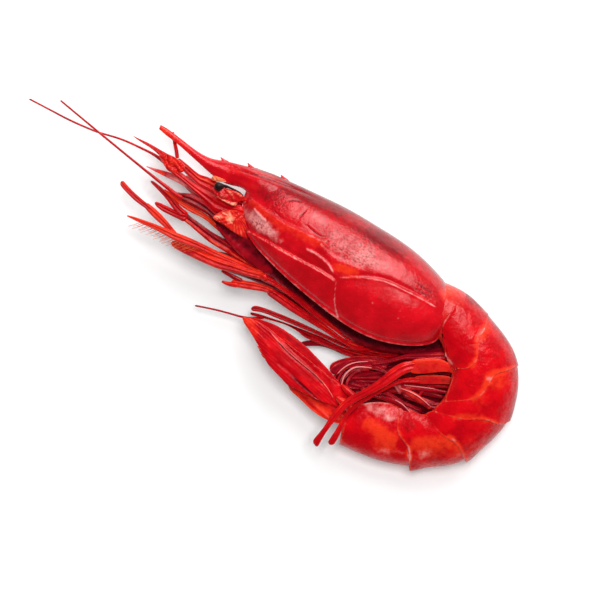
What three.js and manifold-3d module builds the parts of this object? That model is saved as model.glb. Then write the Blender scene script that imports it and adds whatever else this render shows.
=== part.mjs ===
// Cooked deep-sea red prawn lying on its right side with the left flank up, in millimetres.
// X and Y are the side view of the prawn, head to the left, back to the upper right; Z is up.
import * as THREE from "three";
import { mergeVertices } from "three/addons/utils/BufferGeometryUtils.js";
import Module from "manifold-3d";

const wasm = await Module();
wasm.setup();

// Driving sizes of the whole prawn.
const GAP = 0.3; // clearance between neighbouring pieces
const HEAD_MIDDLE = 10.0; // height of the head's middle plane over the resting plane
const TO_CENTRE = new THREE.Vector3(6.75, -4.2, 0); // moves the middle of the outline to the origin

// Colours of the cooked shell.
const SHELL_RED = { color: 0xc4101a, roughness: 0.3 };
const BELLY_RED = { color: 0xd42a1c, roughness: 0.35 };
const LIMB_RED = { color: 0xb5121a, roughness: 0.35 };
const DARK_RED = { color: 0x7a0d14, roughness: 0.4 };
const PALE_ORANGE = { color: 0xe8735a, roughness: 0.45 };
const EYE_BLACK = { color: 0x1c0d0a, roughness: 0.2 };

const UP = new THREE.Vector3(0, 0, 1);

const curve = (points) =>
  new THREE.CatmullRomCurve3(
    points.map(([x, y, z = 0]) => new THREE.Vector3(x, y, z)),
    false,
    "catmullrom",
    0.5,
  );

const smooth = (from, to, value) => THREE.MathUtils.smoothstep(value, from, to);

// A closed solid from a geometry, turned round where its faces point inwards.
function solidOf(geometry) {
  const bare = geometry.clone();
  bare.deleteAttribute("normal");
  bare.deleteAttribute("uv");
  const merged = mergeVertices(bare, 1e-4);
  const triVerts = new Uint32Array(merged.index.array);
  const vertProperties = merged.attributes.position.array;
  const made = new wasm.Manifold(new wasm.Mesh({ numProp: 3, vertProperties, triVerts }));
  if (made.volume() > 0) return made;
  triVerts.reverse();
  return new wasm.Manifold(new wasm.Mesh({ numProp: 3, vertProperties, triVerts }));
}

// A skin over rings: ringAt(t) gives the ring's middle and its points in order.
function skin(around, along, ringAt) {
  const geometry = new THREE.CylinderGeometry(1, 1, 1, around, along);
  const rings = Array.from({ length: along + 1 }, (_, j) => ringAt(j / along));
  const position = geometry.attributes.position;
  for (let k = 0; k < position.count; k += 1) {
    const x = position.getX(k);
    const z = position.getZ(k);
    const ring = rings[Math.round((0.5 - position.getY(k)) * along)];
    const turn = Math.round((Math.atan2(x, z) / (2 * Math.PI)) * around);
    const onRing = Math.hypot(x, z) > 0.5;
    const point = onRing ? ring.points[(turn + around) % around] : ring.middle;
    position.setXYZ(k, point.x, point.y, point.z);
  }
  return solidOf(geometry);
}

// Body shells. A section runs from the back line to the belly line of the side view; its flanks
// end in two free lower edges, with the belly drawn in between them.
const BODY_SIDES = 26;
const FLANK_SIDES = 10; // of the 13 steps from the back to the middle of the belly
const LIP_ANGLE = THREE.MathUtils.degToRad(140);

function bodySection(step, recess) {
  const half = BODY_SIDES / 2;
  const side = step <= half ? 1 : -1;
  const fromBack = side > 0 ? step : BODY_SIDES - step;
  if (fromBack <= FLANK_SIDES) {
    const angle = (fromBack / FLANK_SIDES) * LIP_ANGLE;
    const rise = 1 - (2 * (1 - Math.cos(angle))) / (1 - Math.cos(LIP_ANGLE));
    return [rise, side * Math.sin(angle)];
  }
  const inward = (fromBack - FLANK_SIDES) / (half - FLANK_SIDES);
  const rise = -1 + recess * Math.sin((inward * Math.PI) / 2);
  return [rise, side * Math.sin(LIP_ANGLE) * (1 - inward)];
}

// One shell between t0 and t1 of a body: back and belly rails, half widths and middle heights.
function shell({ back, belly, girth, along, recess, t0 = 0, t1 = 1, lobe = 0, spine = 0, flare = 0 }) {
  return (grow) =>
    skin(BODY_SIDES, along, (share) => {
      const t = t0 + (t1 - t0) * share;
      const top = back.getPoint(t);
      const bottom = belly.getPoint(t);
      const { x: halfWidth, y: height } = girth.getPoint(t);
      const rise = top.clone().sub(bottom);
      const depth = rise.length() / 2;
      rise.normalize();
      const swell = flare * smooth(0.1, 1, share);
      const upper = depth + swell + spine * smooth(0.72, 1, share);
      const lower = depth + swell + lobe * Math.sin(Math.PI * share);
      const middle = top.add(bottom).multiplyScalar(0.5).setZ(height);
      const onward = back.getTangent(t).add(belly.getTangent(t)).normalize();
      const endPush = share === 0 ? -grow : share === 1 ? grow : 0;
      middle.addScaledVector(onward, endPush);
      const flat = Array.from({ length: BODY_SIDES }, (_, i) => {
        const [up, out] = bodySection(i, recess);
        return new THREE.Vector2(up * (up > 0 ? upper : lower), out * (halfWidth + swell));
      });
      const points = flat.map((p, i) => {
        const before = flat[(i + BODY_SIDES - 1) % BODY_SIDES];
        const after = flat[(i + 1) % BODY_SIDES];
        const outward = new THREE.Vector2(after.y - before.y, before.x - after.x).normalize();
        const q = p.clone().addScaledVector(outward, grow);
        return middle.clone().addScaledVector(rise, q.x).addScaledVector(UP, q.y);
      });
      return { middle, points };
    });
}

// A limb along joints given as [x, y, height, half width]. Thin is its thickness over its width,
// and roll turns the flat of a blade about its own line.
function limb(joints, { sides = 6, steps = 2, thin = 1, roll = 0 } = {}) {
  const line = curve(joints.map(([x, y, z]) => [x, y, z]));
  const girth = curve(joints.map(([, , , r]) => [r, 0, 0]));
  const along = steps * (joints.length - 1);
  const turn = THREE.MathUtils.degToRad(roll);
  return (grow) =>
    skin(sides, along, (t) => {
      const tangent = line.getTangent(t);
      const across = new THREE.Vector3().crossVectors(tangent, UP).normalize();
      across.applyAxisAngle(tangent, turn);
      const over = new THREE.Vector3().crossVectors(across, tangent);
      const endPush = t === 0 ? -grow : t === 1 ? grow : 0;
      const middle = line.getPoint(t).addScaledVector(tangent, endPush);
      const width = Math.max(girth.getPoint(t).x, 0.15);
      const points = Array.from({ length: sides }, (_, i) => {
        const angle = (2 * Math.PI * i) / sides;
        return middle
          .clone()
          .addScaledVector(across, (width + grow) * Math.cos(angle))
          .addScaledVector(over, (Math.max(width * thin, 0.2) + grow) * Math.sin(angle));
      });
      return { middle, points };
    });
}

// A rounded lump, its three half sizes given along X, Y and Z.
function lump([x, y, z], [rx, ry, rz]) {
  return (grow) =>
    solidOf(new THREE.SphereGeometry(1, 10, 7).scale(rx + grow, ry + grow, rz + grow).translate(x, y, z));
}

const joined =
  (...shapes) =>
  (grow) =>
    shapes.map((shape) => shape(grow)).reduce((a, b) => a.add(b));

// Pieces are placed in order; each is cut back from those placed before it and from the floor.
const prawn = new THREE.Group();
prawn.name = "cooked_red_prawn";
const placed = [];
const below = solidOf(new THREE.BoxGeometry(400, 400, 40).translate(0, 0, -20));

const boxesMeet = (a, b) => [0, 1, 2].every((i) => a.min[i] <= b.max[i] && b.min[i] <= a.max[i]);

const largest = (solid) => solid.decompose().reduce((a, b) => (a.volume() > b.volume() ? a : b));

function place(name, shape, finish) {
  let solid = shape(0).subtract(below);
  placed.forEach((other) => {
    if (boxesMeet(solid.boundingBox(), other.boundingBox())) solid = solid.subtract(other);
  });
  const { vertProperties, triVerts } = largest(solid).getMesh();
  const geometry = new THREE.BufferGeometry()
    .setAttribute("position", new THREE.BufferAttribute(vertProperties, 3))
    .setIndex(new THREE.BufferAttribute(triVerts, 1))
    .translate(TO_CENTRE.x, TO_CENTRE.y, TO_CENTRE.z);
  geometry.computeVertexNormals();
  const mesh = new THREE.Mesh(geometry, new THREE.MeshStandardMaterial({ metalness: 0, ...finish }));
  mesh.name = name;
  prawn.add(mesh);
  placed.push(shape(GAP));
}

// Carapace: the shell of head and thorax. Girth is the half width and the height of the middle plane.
const MID = HEAD_MIDDLE;
const carapace = shell({
  back: curve([
    [-11.25, 32.9], [-8.75, 32], [-5.75, 31], [-2.5, 29.5], [1.25, 27.75], [5, 26], [10, 24],
    [15, 21.5], [20, 18.75], [25, 15], [29.5, 10.75], [33.25, 6.75], [35.25, 4.25], [36.25, 2.75],
  ]),
  belly: curve([
    [-14.25, 27.5], [-13.25, 24.25], [-11.75, 20], [-9.5, 16], [-7, 12.5], [-3.75, 9], [0.75, 3.75],
    [6, -2], [11.75, -6.75], [17.5, -10], [23.25, -11.5], [29, -11.9], [33, -11.25], [34.5, -10],
  ]),
  girth: curve([
    [2.6, MID], [3.8, MID], [5, MID], [6.2, MID], [7.3, MID], [8.3, MID], [9.4, MID], [10.1, MID],
    [10.35, MID], [10.3, MID - 0.1], [9.9, MID - 0.3], [9.1, MID - 0.6], [8.3, MID - 0.9],
    [7.8, MID - 1],
  ]),
  along: 23,
  recess: 0.5,
});

// Rostrum: the crested beak that runs out over the eyes from inside the front of the carapace.
const rostrum = shell({
  back: curve([
    [0, 27.6], [-4.75, 30.7], [-9.5, 32.5], [-13.25, 33.7], [-17, 34.5], [-20.5, 35.25],
    [-24.25, 36.5], [-27.5, 38.1], [-31, 40.4], [-34.3, 42.9],
  ]),
  belly: curve([
    [-9.5, 22.5], [-12, 26.6], [-15, 28.6], [-17.5, 29.1], [-20.25, 30.75], [-23.25, 32.5],
    [-26.25, 34.75], [-29, 37.25], [-31.75, 39.8], [-34.6, 42.5],
  ]),
  girth: curve([
    [3.2, MID], [3, MID], [2.6, MID], [2.3, MID], [2, MID], [1.7, MID], [1.3, MID], [0.9, MID],
    [0.55, MID], [0.25, MID],
  ]),
  along: 8,
  recess: 0.1,
});

// Each tooth leans forward from a broad root on the crest of the rostrum.
const TOOTH_ROOTS = [[-2.2, 28.9], [-11.2, 32.2], [-17.3, 33.8]];
const teeth = TOOTH_ROOTS.map(([x, y]) =>
  limb(
    [[x + 1.2, y - 0.6, MID, 1.3], [x - 0.6, y + 0.9, MID, 0.9], [x - 2.4, y + 2.2, MID, 0.15]],
    { thin: 0.6 },
  ),
);
place("carapace", joined(carapace, rostrum, ...teeth), SHELL_RED);

// Abdomen: six ringed segments curling under, each a little wider at its rear rim.
const abdomenBack = curve([
  [36.75, 3.5], [41.75, 1], [46.75, -4], [51.25, -9.75], [54.2, -15.75], [54.3, -23.75], [51.5, -31.2],
  [47, -36.3], [41.25, -39.9], [34.5, -41.3], [27.25, -41.2], [18.75, -38.75], [10.25, -35],
]);
const abdomenBelly = curve([
  [35, -10.25], [36.5, -15], [40, -17.75], [39, -20.75], [39.75, -24], [37.25, -26], [36.5, -29],
  [34.25, -29.75], [32, -30], [29.25, -29], [26.25, -27.75], [18.75, -25.75], [11.5, -27],
]);
const abdomenGirth = curve([
  [7.6, 8.8], [7.9, 8.4], [8.1, 8], [8.2, 7.8], [8.1, 7.6], [7.8, 7.4], [7.4, 7.1],
  [6.9, 6.9], [6.4, 6.7], [5.9, 6.6], [5.4, 6.5], [4.8, 6.4], [4, 6.3],
]);
const SEGMENTS = [
  { lobe: 0.9, spine: 0, flare: 0.3 },
  { lobe: 0.5, spine: 0, flare: 0.35 },
  { lobe: 0.4, spine: 0.5, flare: 0.35 },
  { lobe: 0.4, spine: 0.6, flare: 0.35 },
  { lobe: 0.4, spine: 0.9, flare: 0.3 },
  { lobe: 0.2, spine: 0, flare: 0 },
];
SEGMENTS.forEach((segment, i) => {
  const ring = shell({
    back: abdomenBack,
    belly: abdomenBelly,
    girth: abdomenGirth,
    along: 5,
    recess: 0.28,
    t0: i / SEGMENTS.length,
    t1: (i + 1) / SEGMENTS.length,
    ...segment,
  });
  place(`abdomen_${i + 1}`, ring, i === 5 ? BELLY_RED : SHELL_RED);
});

// Mouthparts: the dark mass of jaws under the front of the carapace.
place(
  "mouthparts",
  limb(
    [[-12.5, 18.5, MID, 1.6], [-9, 13.5, MID, 3], [-3.5, 8, MID, 3.2], [2, 3.5, MID, 2.4]],
    { sides: 10, thin: 1.35 },
  ),
  DARK_RED,
);

// Eyes on short stalks below the root of the rostrum, standing out from the middle plane.
[1, -1].forEach((side) => {
  const stalk = [
    [-13.2, 23.4, MID + side * 3.2, 1.2], [-15.4, 24.7, MID + side * 4.4, 1.55],
    [-17.6, 26.1, MID + side * 5.3, 1.4], [-19.3, 27.5, MID + side * 5.8, 1.5],
    [-20.4, 28.4, MID + side * 6, 1.1], [-20.9, 28.8, MID + side * 6, 0.35],
  ];
  place(side > 0 ? "eye_left" : "eye_right", limb(stalk, { sides: 8 }), EYE_BLACK);
});

// First feelers: a jointed stalk carrying short lashes.
place(
  "antennule_left",
  joined(
    limb([
      [-13.2, 21.6, 12, 1.5], [-16.5, 23.6, 12.1, 1.5], [-20, 26, 12.2, 1.5], [-23.75, 28.5, 12.5, 1.35],
      [-27.5, 31, 12.6, 1.35], [-30.75, 33, 12.5, 1.6], [-33.4, 34.8, 12.4, 0.9],
    ]),
    limb([
      [-32.2, 34.3, 12.4, 0.9], [-35.75, 37.6, 12.4, 0.8], [-38.5, 39.5, 12.4, 0.6],
      [-41.75, 41, 12.2, 0.2],
    ]),
  ),
  LIMB_RED,
);
place(
  "antennule_right",
  joined(
    limb([
      [-13.2, 21.8, 8, 1.5], [-18, 26.2, 7.2, 1.5], [-22.5, 29.4, 7, 1.4], [-26.3, 32.1, 7, 1.35],
      [-30, 34.8, 7.2, 1.5], [-31, 35.7, 7.2, 0.9],
    ]),
    limb([[-30.2, 34.6, 7.2, 0.9], [-30.7, 37, 7, 0.8], [-31.3, 39.6, 6.6, 0.65], [-32, 42.2, 6, 0.3]]),
  ),
  LIMB_RED,
);

// Flat scales beside the second feelers.
place(
  "antennal_scale_left",
  limb(
    [
      [-17.5, 20.2, 10.9, 1.6], [-24.5, 25.4, 10.3, 2.3], [-31.25, 29.9, 10.2, 1.9],
      [-38.5, 33.6, 10.4, 0.3],
    ],
    { steps: 3, thin: 0.16, roll: 14 },
  ),
  PALE_ORANGE,
);
place(
  "antennal_scale_right",
  limb(
    [[-17, 20.6, 5.2, 1.6], [-23.5, 26.2, 4.4, 2.3], [-29.5, 31, 4, 1.9], [-35.5, 35, 3.6, 0.3]],
    { steps: 3, thin: 0.16, roll: -10 },
  ),
  PALE_ORANGE,
);

// Second feelers: a stout base and a long whip, broken short.
const WHIP = { sides: 5, steps: 2 };
place(
  "antenna_left",
  joined(
    lump([-16.6, 20.3, 14.6], [3.9, 2.7, 1.5]),
    limb([
      [-13.8, 18.9, 13.6, 1.8], [-20.5, 21.75, 13.8, 1.8], [-25, 23.75, 13.7, 1.75],
      [-29.25, 25.75, 13.5, 1.5],
      [-30.6, 26.4, 13.4, 0.8],
    ]),
    limb(
      [
        [-29.8, 26, 13.4, 0.8], [-32.75, 27.4, 13.2, 0.65], [-36.5, 30.2, 12.9, 0.45],
        [-41.25, 34.1, 12.4, 0.4],
        [-50.75, 42.3, 11.2, 0.36], [-60, 50, 9.6, 0.32],
      ],
      WHIP,
    ),
  ),
  LIMB_RED,
);
place(
  "antenna_right",
  joined(
    limb([
      [-13.5, 18.6, 5.6, 1.8], [-19, 22, 2.9, 1.8], [-24, 26, 2.4, 1.75], [-28.5, 30, 2.4, 1.5],
      [-29.6, 31, 2.5, 0.8],
    ]),
    limb(
      [
        [-28.9, 30.4, 2.5, 0.8], [-34.6, 35.1, 3.6, 0.6], [-40.4, 38.2, 5, 0.45],
        [-45.1, 40.6, 5.6, 0.4],
        [-53.3, 43.2, 6.2, 0.36], [-58.1, 45.3, 6.4, 0.36], [-62.8, 47.8, 6.4, 0.34],
        [-68, 50.5, 6.2, 0.3],
      ],
      WHIP,
    ),
  ),
  LIMB_RED,
);

// Third maxillipeds: the leg-like mouth limbs carried in front of the walking legs.
place(
  "maxilliped_left",
  limb([
    [2.5, 7.5, 13, 1.5], [-4, 8, 14.2, 1.4], [-9.5, 8.1, 14.6, 1.3], [-15.5, 10.2, 14.6, 1.2],
    [-21.25, 12.4, 14.4, 1.2], [-27.5, 14.4, 14.1, 1.3], [-32.5, 16.5, 13.8, 1.15],
    [-37.5, 19.1, 13.4, 0.8],
    [-43.2, 21.2, 13, 0.3],
  ]),
  BELLY_RED,
);
place(
  "maxilliped_right",
  limb([
    [2.5, 8.5, 7, 1.5], [-4, 9.4, 6, 1.4], [-9.5, 9.8, 5.4, 1.3], [-15.5, 12, 5, 1.2],
    [-21.25, 14.6, 4.6, 1.2],
    [-26.5, 17.2, 4.2, 1.2], [-31, 19.8, 3.8, 0.8], [-35, 22, 3.4, 0.3],
  ]),
  DARK_RED,
);

// Walking legs of the left, upper side. The first ends in an open pincer.
const LEFT_LEGS = [
  joined(
    limb([
      [6, 4, 12, 1.5], [-1.5, 6, 11.4, 1.4], [-9.5, 9.6, 11.2, 1.1], [-15.5, 12.5, 11.2, 1.05],
      [-21.75, 15.2, 11.2, 1.2], [-25.5, 18, 11.3, 1.45], [-28.4, 20.4, 11.4, 1.2],
    ]),
    limb([
      [-27.4, 19.6, 11.5, 1], [-29.8, 22.6, 11.6, 0.9], [-33, 26, 11.8, 0.75],
      [-37.25, 29.5, 12, 0.25],
    ]),
    limb([
      [-27.4, 19.6, 11.3, 1], [-31.6, 22.2, 11.2, 0.85], [-34.2, 23.4, 11.2, 0.75],
      [-36.2, 24.2, 11.2, 0.3],
    ]),
  ),
  limb([
    [10, 0, 11, 1.5], [2, 1.8, 9.6, 1.3], [-6, 5.2, 9.2, 1.1], [-14, 8.6, 9.4, 1], [-22, 11.6, 9.8, 1],
    [-28.75, 14.4, 10.1, 1.2], [-31.75, 16.6, 10.4, 1.5], [-35, 19.6, 11, 1.45], [-38.2, 22.9, 11.6, 1],
    [-41.75, 26, 12, 0.95], [-44.3, 28.6, 12.2, 0.75], [-45, 29.3, 12.2, 0.35],
  ]),
  limb([
    [19, -5.5, 12, 1.5], [13.75, -8.6, 12.6, 1.3], [7.5, -5, 12.8, 1.25], [-1, 0.6, 12.9, 1.2],
    [-9, 5.6, 12.6, 1.15], [-16.25, 8, 12.3, 1.05], [-22, 9.6, 12.1, 1.2], [-25.5, 10.8, 12, 1.35],
    [-29.5, 12.8, 12, 1.1], [-32.4, 14.3, 12, 0.5],
  ]),
  limb([
    [23, -8, 11.2, 1.5], [16.25, -12, 10.8, 1.3], [10, -9, 10.8, 1.2], [2.5, -4.5, 11, 1.2],
    [-4.5, -0.2, 11.3, 1.2], [-9.5, 2.9, 11.4, 1.2], [-15, 3.9, 11.2, 1], [-19.5, 5.3, 11, 0.3],
  ]),
  limb([
    [28.5, -8, 11, 1.5], [23.75, -13, 9.4, 1.3], [17.5, -13.1, 8.6, 1.2], [10, -10.4, 8.5, 1.1],
    [2.5, -6.8, 8.6, 1.1], [-5, -4, 8.6, 1.1], [-10.5, -2.1, 8.5, 0.95], [-12.2, -1.7, 8.5, 0.4],
  ]),
];
LEFT_LEGS.forEach((leg, i) => place(`leg_left_${i + 1}`, leg, i === 4 ? DARK_RED : LIMB_RED));

// Walking legs of the right side, lying beneath. The last ends in a thread that shows past the tail.
const RIGHT_LEGS = [
  [
    [6, 4, 7.6, 1.4], [-2, 5, 5.6, 1.3], [-10, 8, 4.4, 1.1], [-18, 11.6, 3.6, 1], [-24, 14.6, 3.2, 1.2],
    [-28, 17, 3, 0.9], [-31.5, 19, 2.8, 0.3],
  ],
  [
    [10, 0, 7.4, 1.4], [2, 0.6, 5, 1.3], [-6, 3.6, 3.6, 1.1], [-14, 6.8, 2.8, 1], [-20, 9, 2.4, 1.2],
    [-25, 11, 2.2, 0.9], [-29, 12.4, 2, 0.3],
  ],
  [
    [19, -5.5, 8, 1.4], [13, -7.6, 5.6, 1.3], [6, -4.6, 4.4, 1.2], [-2, 0, 3.6, 1.1],
    [-10, 3.8, 2.8, 1.1],
    [-16, 5.6, 2.4, 1], [-22, 6.6, 2.2, 0.3],
  ],
  [
    [23, -8, 8, 1.4], [16, -11, 5.6, 1.3], [9, -8.4, 4.4, 1.2], [1, -4, 3.4, 1.1], [-7, -0.4, 2.6, 1.1],
    [-12, 1, 2.2, 0.9], [-16.5, 1.8, 2, 0.3],
  ],
  [
    [28.5, -8, 7.6, 1.4], [23, -12.6, 5.6, 1.3], [16, -13.4, 5, 1.2], [8, -11.4, 5, 1.1],
    [0.5, -8.4, 5.2, 0.9],
    [-6.5, -5.4, 5.4, 0.7], [-12, -3.9, 5.4, 0.4], [-16, -3.9, 5.3, 0.35], [-21, -2.7, 5.2, 0.35],
    [-26.3, -1.8, 5, 0.35],
  ],
];
RIGHT_LEGS.forEach((leg, i) => place(`leg_right_${i + 1}`, limb(leg), DARK_RED));

// Swimmerets: a stout base and a soft blade swept back under the belly.
const BLADE = { steps: 3, thin: 0.45 };
const LEFT_SWIMMERETS = [
  joined(
    limb([[38.5, -13.6, 11.6, 1.6], [33, -14.4, 12, 1.5], [26.5, -14.4, 11.8, 1.1]]),
    limb(
      [
        [27.5, -14.4, 11.8, 1], [18, -14.6, 11.2, 1.2], [12, -14.9, 10.8, 1.2], [8.4, -16, 10.4, 1],
        [6.9, -17.2, 10.2, 0.4],
      ],
      BLADE,
    ),
  ),
  joined(
    limb([[42, -19.6, 12.4, 1.6], [36.5, -16.7, 13.6, 1.7], [27.5, -16.2, 14.2, 1.4]]),
    limb(
      [
        [28.5, -16.2, 14.2, 1.2], [23.75, -18.8, 14.8, 1.1], [15.5, -24.6, 15, 1.05],
        [8.5, -30.8, 14.2, 1], [4.6, -36, 13, 0.35],
      ],
      BLADE,
    ),
  ),
  joined(
    limb([[43, -22.4, 11, 1.5], [37, -20.4, 12, 1.5], [29.5, -19.6, 12.4, 1.3]]),
    limb(
      [
        [30.5, -19.6, 12.4, 1.1], [25, -21.8, 12.4, 1.05], [18, -26, 12.6, 1],
        [12.9, -30, 12.6, 0.95], [9.3, -36.2, 12.2, 0.35],
      ],
      BLADE,
    ),
  ),
  joined(
    limb([[37, -26.8, 10, 1.4], [32.5, -26, 10.8, 1.5], [26, -23.4, 11, 1.2]]),
    limb(
      [
        [27, -23.8, 11, 1], [23, -19.6, 10, 1.1], [18.5, -17.2, 9, 1.2], [14.4, -17.2, 8.4, 1.3],
        [11.9, -19, 8, 1.1], [11.6, -20.8, 8, 0.5],
      ],
      BLADE,
    ),
  ),
  joined(
    limb([[30, -28.6, 9.4, 1.3], [26.5, -27, 10, 1.4], [22.5, -25.2, 10, 1.1]]),
    limb([
      [23.5, -25.6, 10, 0.9], [19, -22.6, 9, 1.1], [16.5, -20.4, 8, 1.2], [15.4, -19, 7.6, 0.5],
    ], BLADE),
  ),
];
LEFT_SWIMMERETS.forEach((pieces, i) => place(`swimmeret_left_${i + 1}`, pieces, BELLY_RED));

const RIGHT_SWIMMERETS = [
  [
    [38.5, -13.6, 5.2, 1.5], [33, -14.6, 4, 1.5], [26, -15.2, 3.4, 1.2], [19, -16, 2.8, 1.2],
    [12, -17, 2.4, 1],
    [8.5, -18, 2.2, 0.4],
  ],
  [
    [42, -19.6, 4.4, 1.5], [36, -17.6, 3.4, 1.5], [29, -17.6, 2.8, 1.2], [22, -19, 2.4, 1.2],
    [16, -21, 2.2, 1],
    [13, -22.4, 2, 0.4],
  ],
  [
    [43, -22.4, 4.4, 1.4], [36, -21, 3.4, 1.4], [29.5, -20.8, 2.8, 1.2], [24, -22, 2.4, 1.1],
    [18.5, -23.6, 2.2, 0.9],
    [15.5, -24.4, 2, 0.4],
  ],
  [
    [37, -26.8, 4.2, 1.3], [31.5, -25, 3.4, 1.3], [26.5, -24.4, 3, 1.1], [22, -24.2, 2.4, 0.8],
    [19.5, -24.3, 2.2, 0.4],
  ],
  [[30, -28.6, 4.2, 1.2], [26.5, -26.8, 5, 1.1], [22, -25.6, 5.2, 0.9], [18.5, -24.6, 5.2, 0.4]],
];
RIGHT_SWIMMERETS.forEach((line, i) => {
  place(`swimmeret_right_${i + 1}`, limb(line, { thin: 0.6 }), DARK_RED);
});

// Tail fan, folded: the telson on edge between two pairs of blades.
place(
  "telson",
  limb(
    [
      [12.5, -29, 6.2, 1.5], [9.5, -24.5, 6.2, 1.3], [4, -17.8, 6.1, 1.1], [-2, -11.8, 6, 0.9],
      [-8.8, -6, 5.8, 0.35],
    ],
    { sides: 8, thin: 2.2 },
  ),
  BELLY_RED,
);
const INNER_LINE = [
  [12, -29, 1.4], [9, -25, 1.8], [4, -18.8, 2.6], [-2, -12.4, 2.7], [-7.6, -7.4, 1.9],
  [-10.4, -5, 0.5],
];
const OUTER_LINE = [
  [12, -30.4, 1.6], [8.6, -27, 2.6], [3, -21.6, 3.6], [-3, -15.8, 4], [-9, -9.8, 3.2], [-12.8, -6, 1.6],
  [-14.2, -4.6, 0.4],
];
const RIGHT_SLIP = -0.9; // how far the lower outer blade shows past the upper one
const level = (line, heights, slip = 0) =>
  line.map(([x, y, r], i) => [x + slip, y + slip, heights[i], r]);
place(
  "uropod_inner_left",
  limb(level(INNER_LINE, [9.6, 10, 10.1, 10, 9.8, 9.6]), { thin: 0.16 }),
  BELLY_RED,
);
place(
  "uropod_outer_left",
  limb(level(OUTER_LINE, [10.6, 11.2, 11.4, 11.3, 11, 10.8, 10.6]), { sides: 8, thin: 0.12 }),
  SHELL_RED,
);
place(
  "uropod_inner_right",
  limb(level(INNER_LINE, [3, 2.6, 2.4, 2.4, 2.4, 2.4]), { thin: 0.16 }),
  DARK_RED,
);
place(
  "uropod_outer_right",
  limb(level(OUTER_LINE, [2, 1.4, 1.2, 1.2, 1.2, 1.2, 1.2], RIGHT_SLIP), { sides: 8, thin: 0.12 }),
  BELLY_RED,
);

export default prawn;
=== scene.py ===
import bmesh
import bpy
import numpy as np
from mathutils import Matrix, Vector


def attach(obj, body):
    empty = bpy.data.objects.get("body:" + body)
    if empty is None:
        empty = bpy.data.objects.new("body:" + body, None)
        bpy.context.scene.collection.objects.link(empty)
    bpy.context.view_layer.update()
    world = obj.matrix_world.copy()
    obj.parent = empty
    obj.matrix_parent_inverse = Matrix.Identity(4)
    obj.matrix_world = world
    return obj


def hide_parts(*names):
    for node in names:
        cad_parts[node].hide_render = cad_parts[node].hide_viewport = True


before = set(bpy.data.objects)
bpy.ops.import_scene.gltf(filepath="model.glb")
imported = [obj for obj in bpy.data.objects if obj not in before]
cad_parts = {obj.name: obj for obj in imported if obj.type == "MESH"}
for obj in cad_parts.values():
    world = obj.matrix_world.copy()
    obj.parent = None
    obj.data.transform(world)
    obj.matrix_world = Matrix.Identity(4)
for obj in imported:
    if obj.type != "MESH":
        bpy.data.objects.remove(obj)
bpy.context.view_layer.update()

# Carapace: the one-piece shell of head and thorax, cooked hard and glossy, open below where the
# legs come out. It is grown in one with the toothed beak over the eyes, and low ridges and seams
# mark off its plates. Sizes are drawn in millimetres on the side view, with height above it.
TO_CENTRE = np.array((6.75, -4.2, 0.0))  # from the middle of the drawing to the part's origin
MID = 10.0  # height of the head's middle plane
LIP_ANGLE = np.radians(140)  # how far round a flank runs from the back to its free edge
FLANK_SHARE = 0.86  # share of a shell's girth that is its two flanks, the rest being its underside
TINTS = ("orange", "pale", "dark", "pitted")
FLOOR_GAP = 0.42  # height at which soft undersides lie flat


def follow(points, t):
    """Places at t, from 0 to 1, on a smooth curve that keeps to the given points."""
    points = np.asarray(points, float)
    last = len(points) - 1
    hull = np.vstack((2 * points[0] - points[1], points, 2 * points[-1] - points[-2]))
    hull[1:-1] += (points - (hull[:-2] + hull[2:]) / 2) / 3
    hull[0] = 2 * hull[1] - hull[2]
    hull[-1] = 2 * hull[-2] - hull[-3]
    place = np.clip(np.asarray(t, float), 0, 1) * last
    k = np.minimum(place.astype(int), last - 1)
    w = (place - k)[..., None]
    before, start, end, after = (hull[k + i] for i in range(4))
    return (
        (1 - w) ** 3 * before
        + (3 * w**3 - 6 * w**2 + 4) * start
        + (-3 * w**3 + 3 * w**2 + 3 * w + 1) * end
        + w**3 * after
    ) / 6


def ease(low, high, value):
    """A smooth step from 0 at low to 1 at high."""
    x = np.clip((value - low) / (high - low), 0, 1)
    return x * x * (3 - 2 * x)


def bell(offset, width):
    """1 where the offset is 0, dying away on both sides over the given width."""
    return np.exp(-((offset / width) ** 2))


def to_line(xy, line):
    """Distance from points to a drawn line, the side they lie on and how far along it they are."""
    line = follow(line, np.linspace(0, 1, 40))
    near = np.full(len(xy), np.inf)
    side = np.zeros(len(xy))
    run = np.zeros(len(xy))
    for i, (a, b) in enumerate(zip(line[:-1], line[1:])):
        ab = b - a
        share = np.clip((xy - a) @ ab / (ab @ ab), 0, 1)
        off = xy - a - share[:, None] * ab
        gap = np.hypot(off[:, 0], off[:, 1])
        nearer = gap < near
        near = np.where(nearer, gap, near)
        side = np.where(nearer, np.sign(ab[0] * off[:, 1] - ab[1] * off[:, 0]), side)
        run = np.where(nearer, (i + share) / (len(line) - 1), run)
    return near, side, run


def stroke(xy, line, height, left, right, fade=0.08, broken=0.0):
    """A ridge or groove along a drawn line, its own width on each side, faded at its ends and worn."""
    near, side, run = to_line(xy, line)
    width = np.where(side > 0, left, right)
    worn = 1 - broken * (0.5 + 0.5 * np.sin(47 * run + 1) * np.sin(19 * run))
    return height * worn * bell(near, width) * ease(0, fade, run) * ease(0, fade, 1 - run)


def strokes(xy, *lines):
    """Ridges and grooves added up, each given by what stroke takes."""
    return sum(stroke(xy, *line) for line in lines)


def shifted(line, right, up):
    """A drawn line moved aside."""
    return [(x + right, y + up) for x, y in line]


def patch(xy, x, y, half_x, half_y, turn=0.0):
    """A soft-edged oval, 1 at its middle and 0 beyond its half sizes."""
    c, s = np.cos(np.radians(turn)), np.sin(np.radians(turn))
    u = ((xy[:, 0] - x) * c + (xy[:, 1] - y) * s) / half_x
    v = ((xy[:, 1] - y) * c - (xy[:, 0] - x) * s) / half_y
    return ease(0, 1, 1 - np.sqrt(u * u + v * v))


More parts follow.
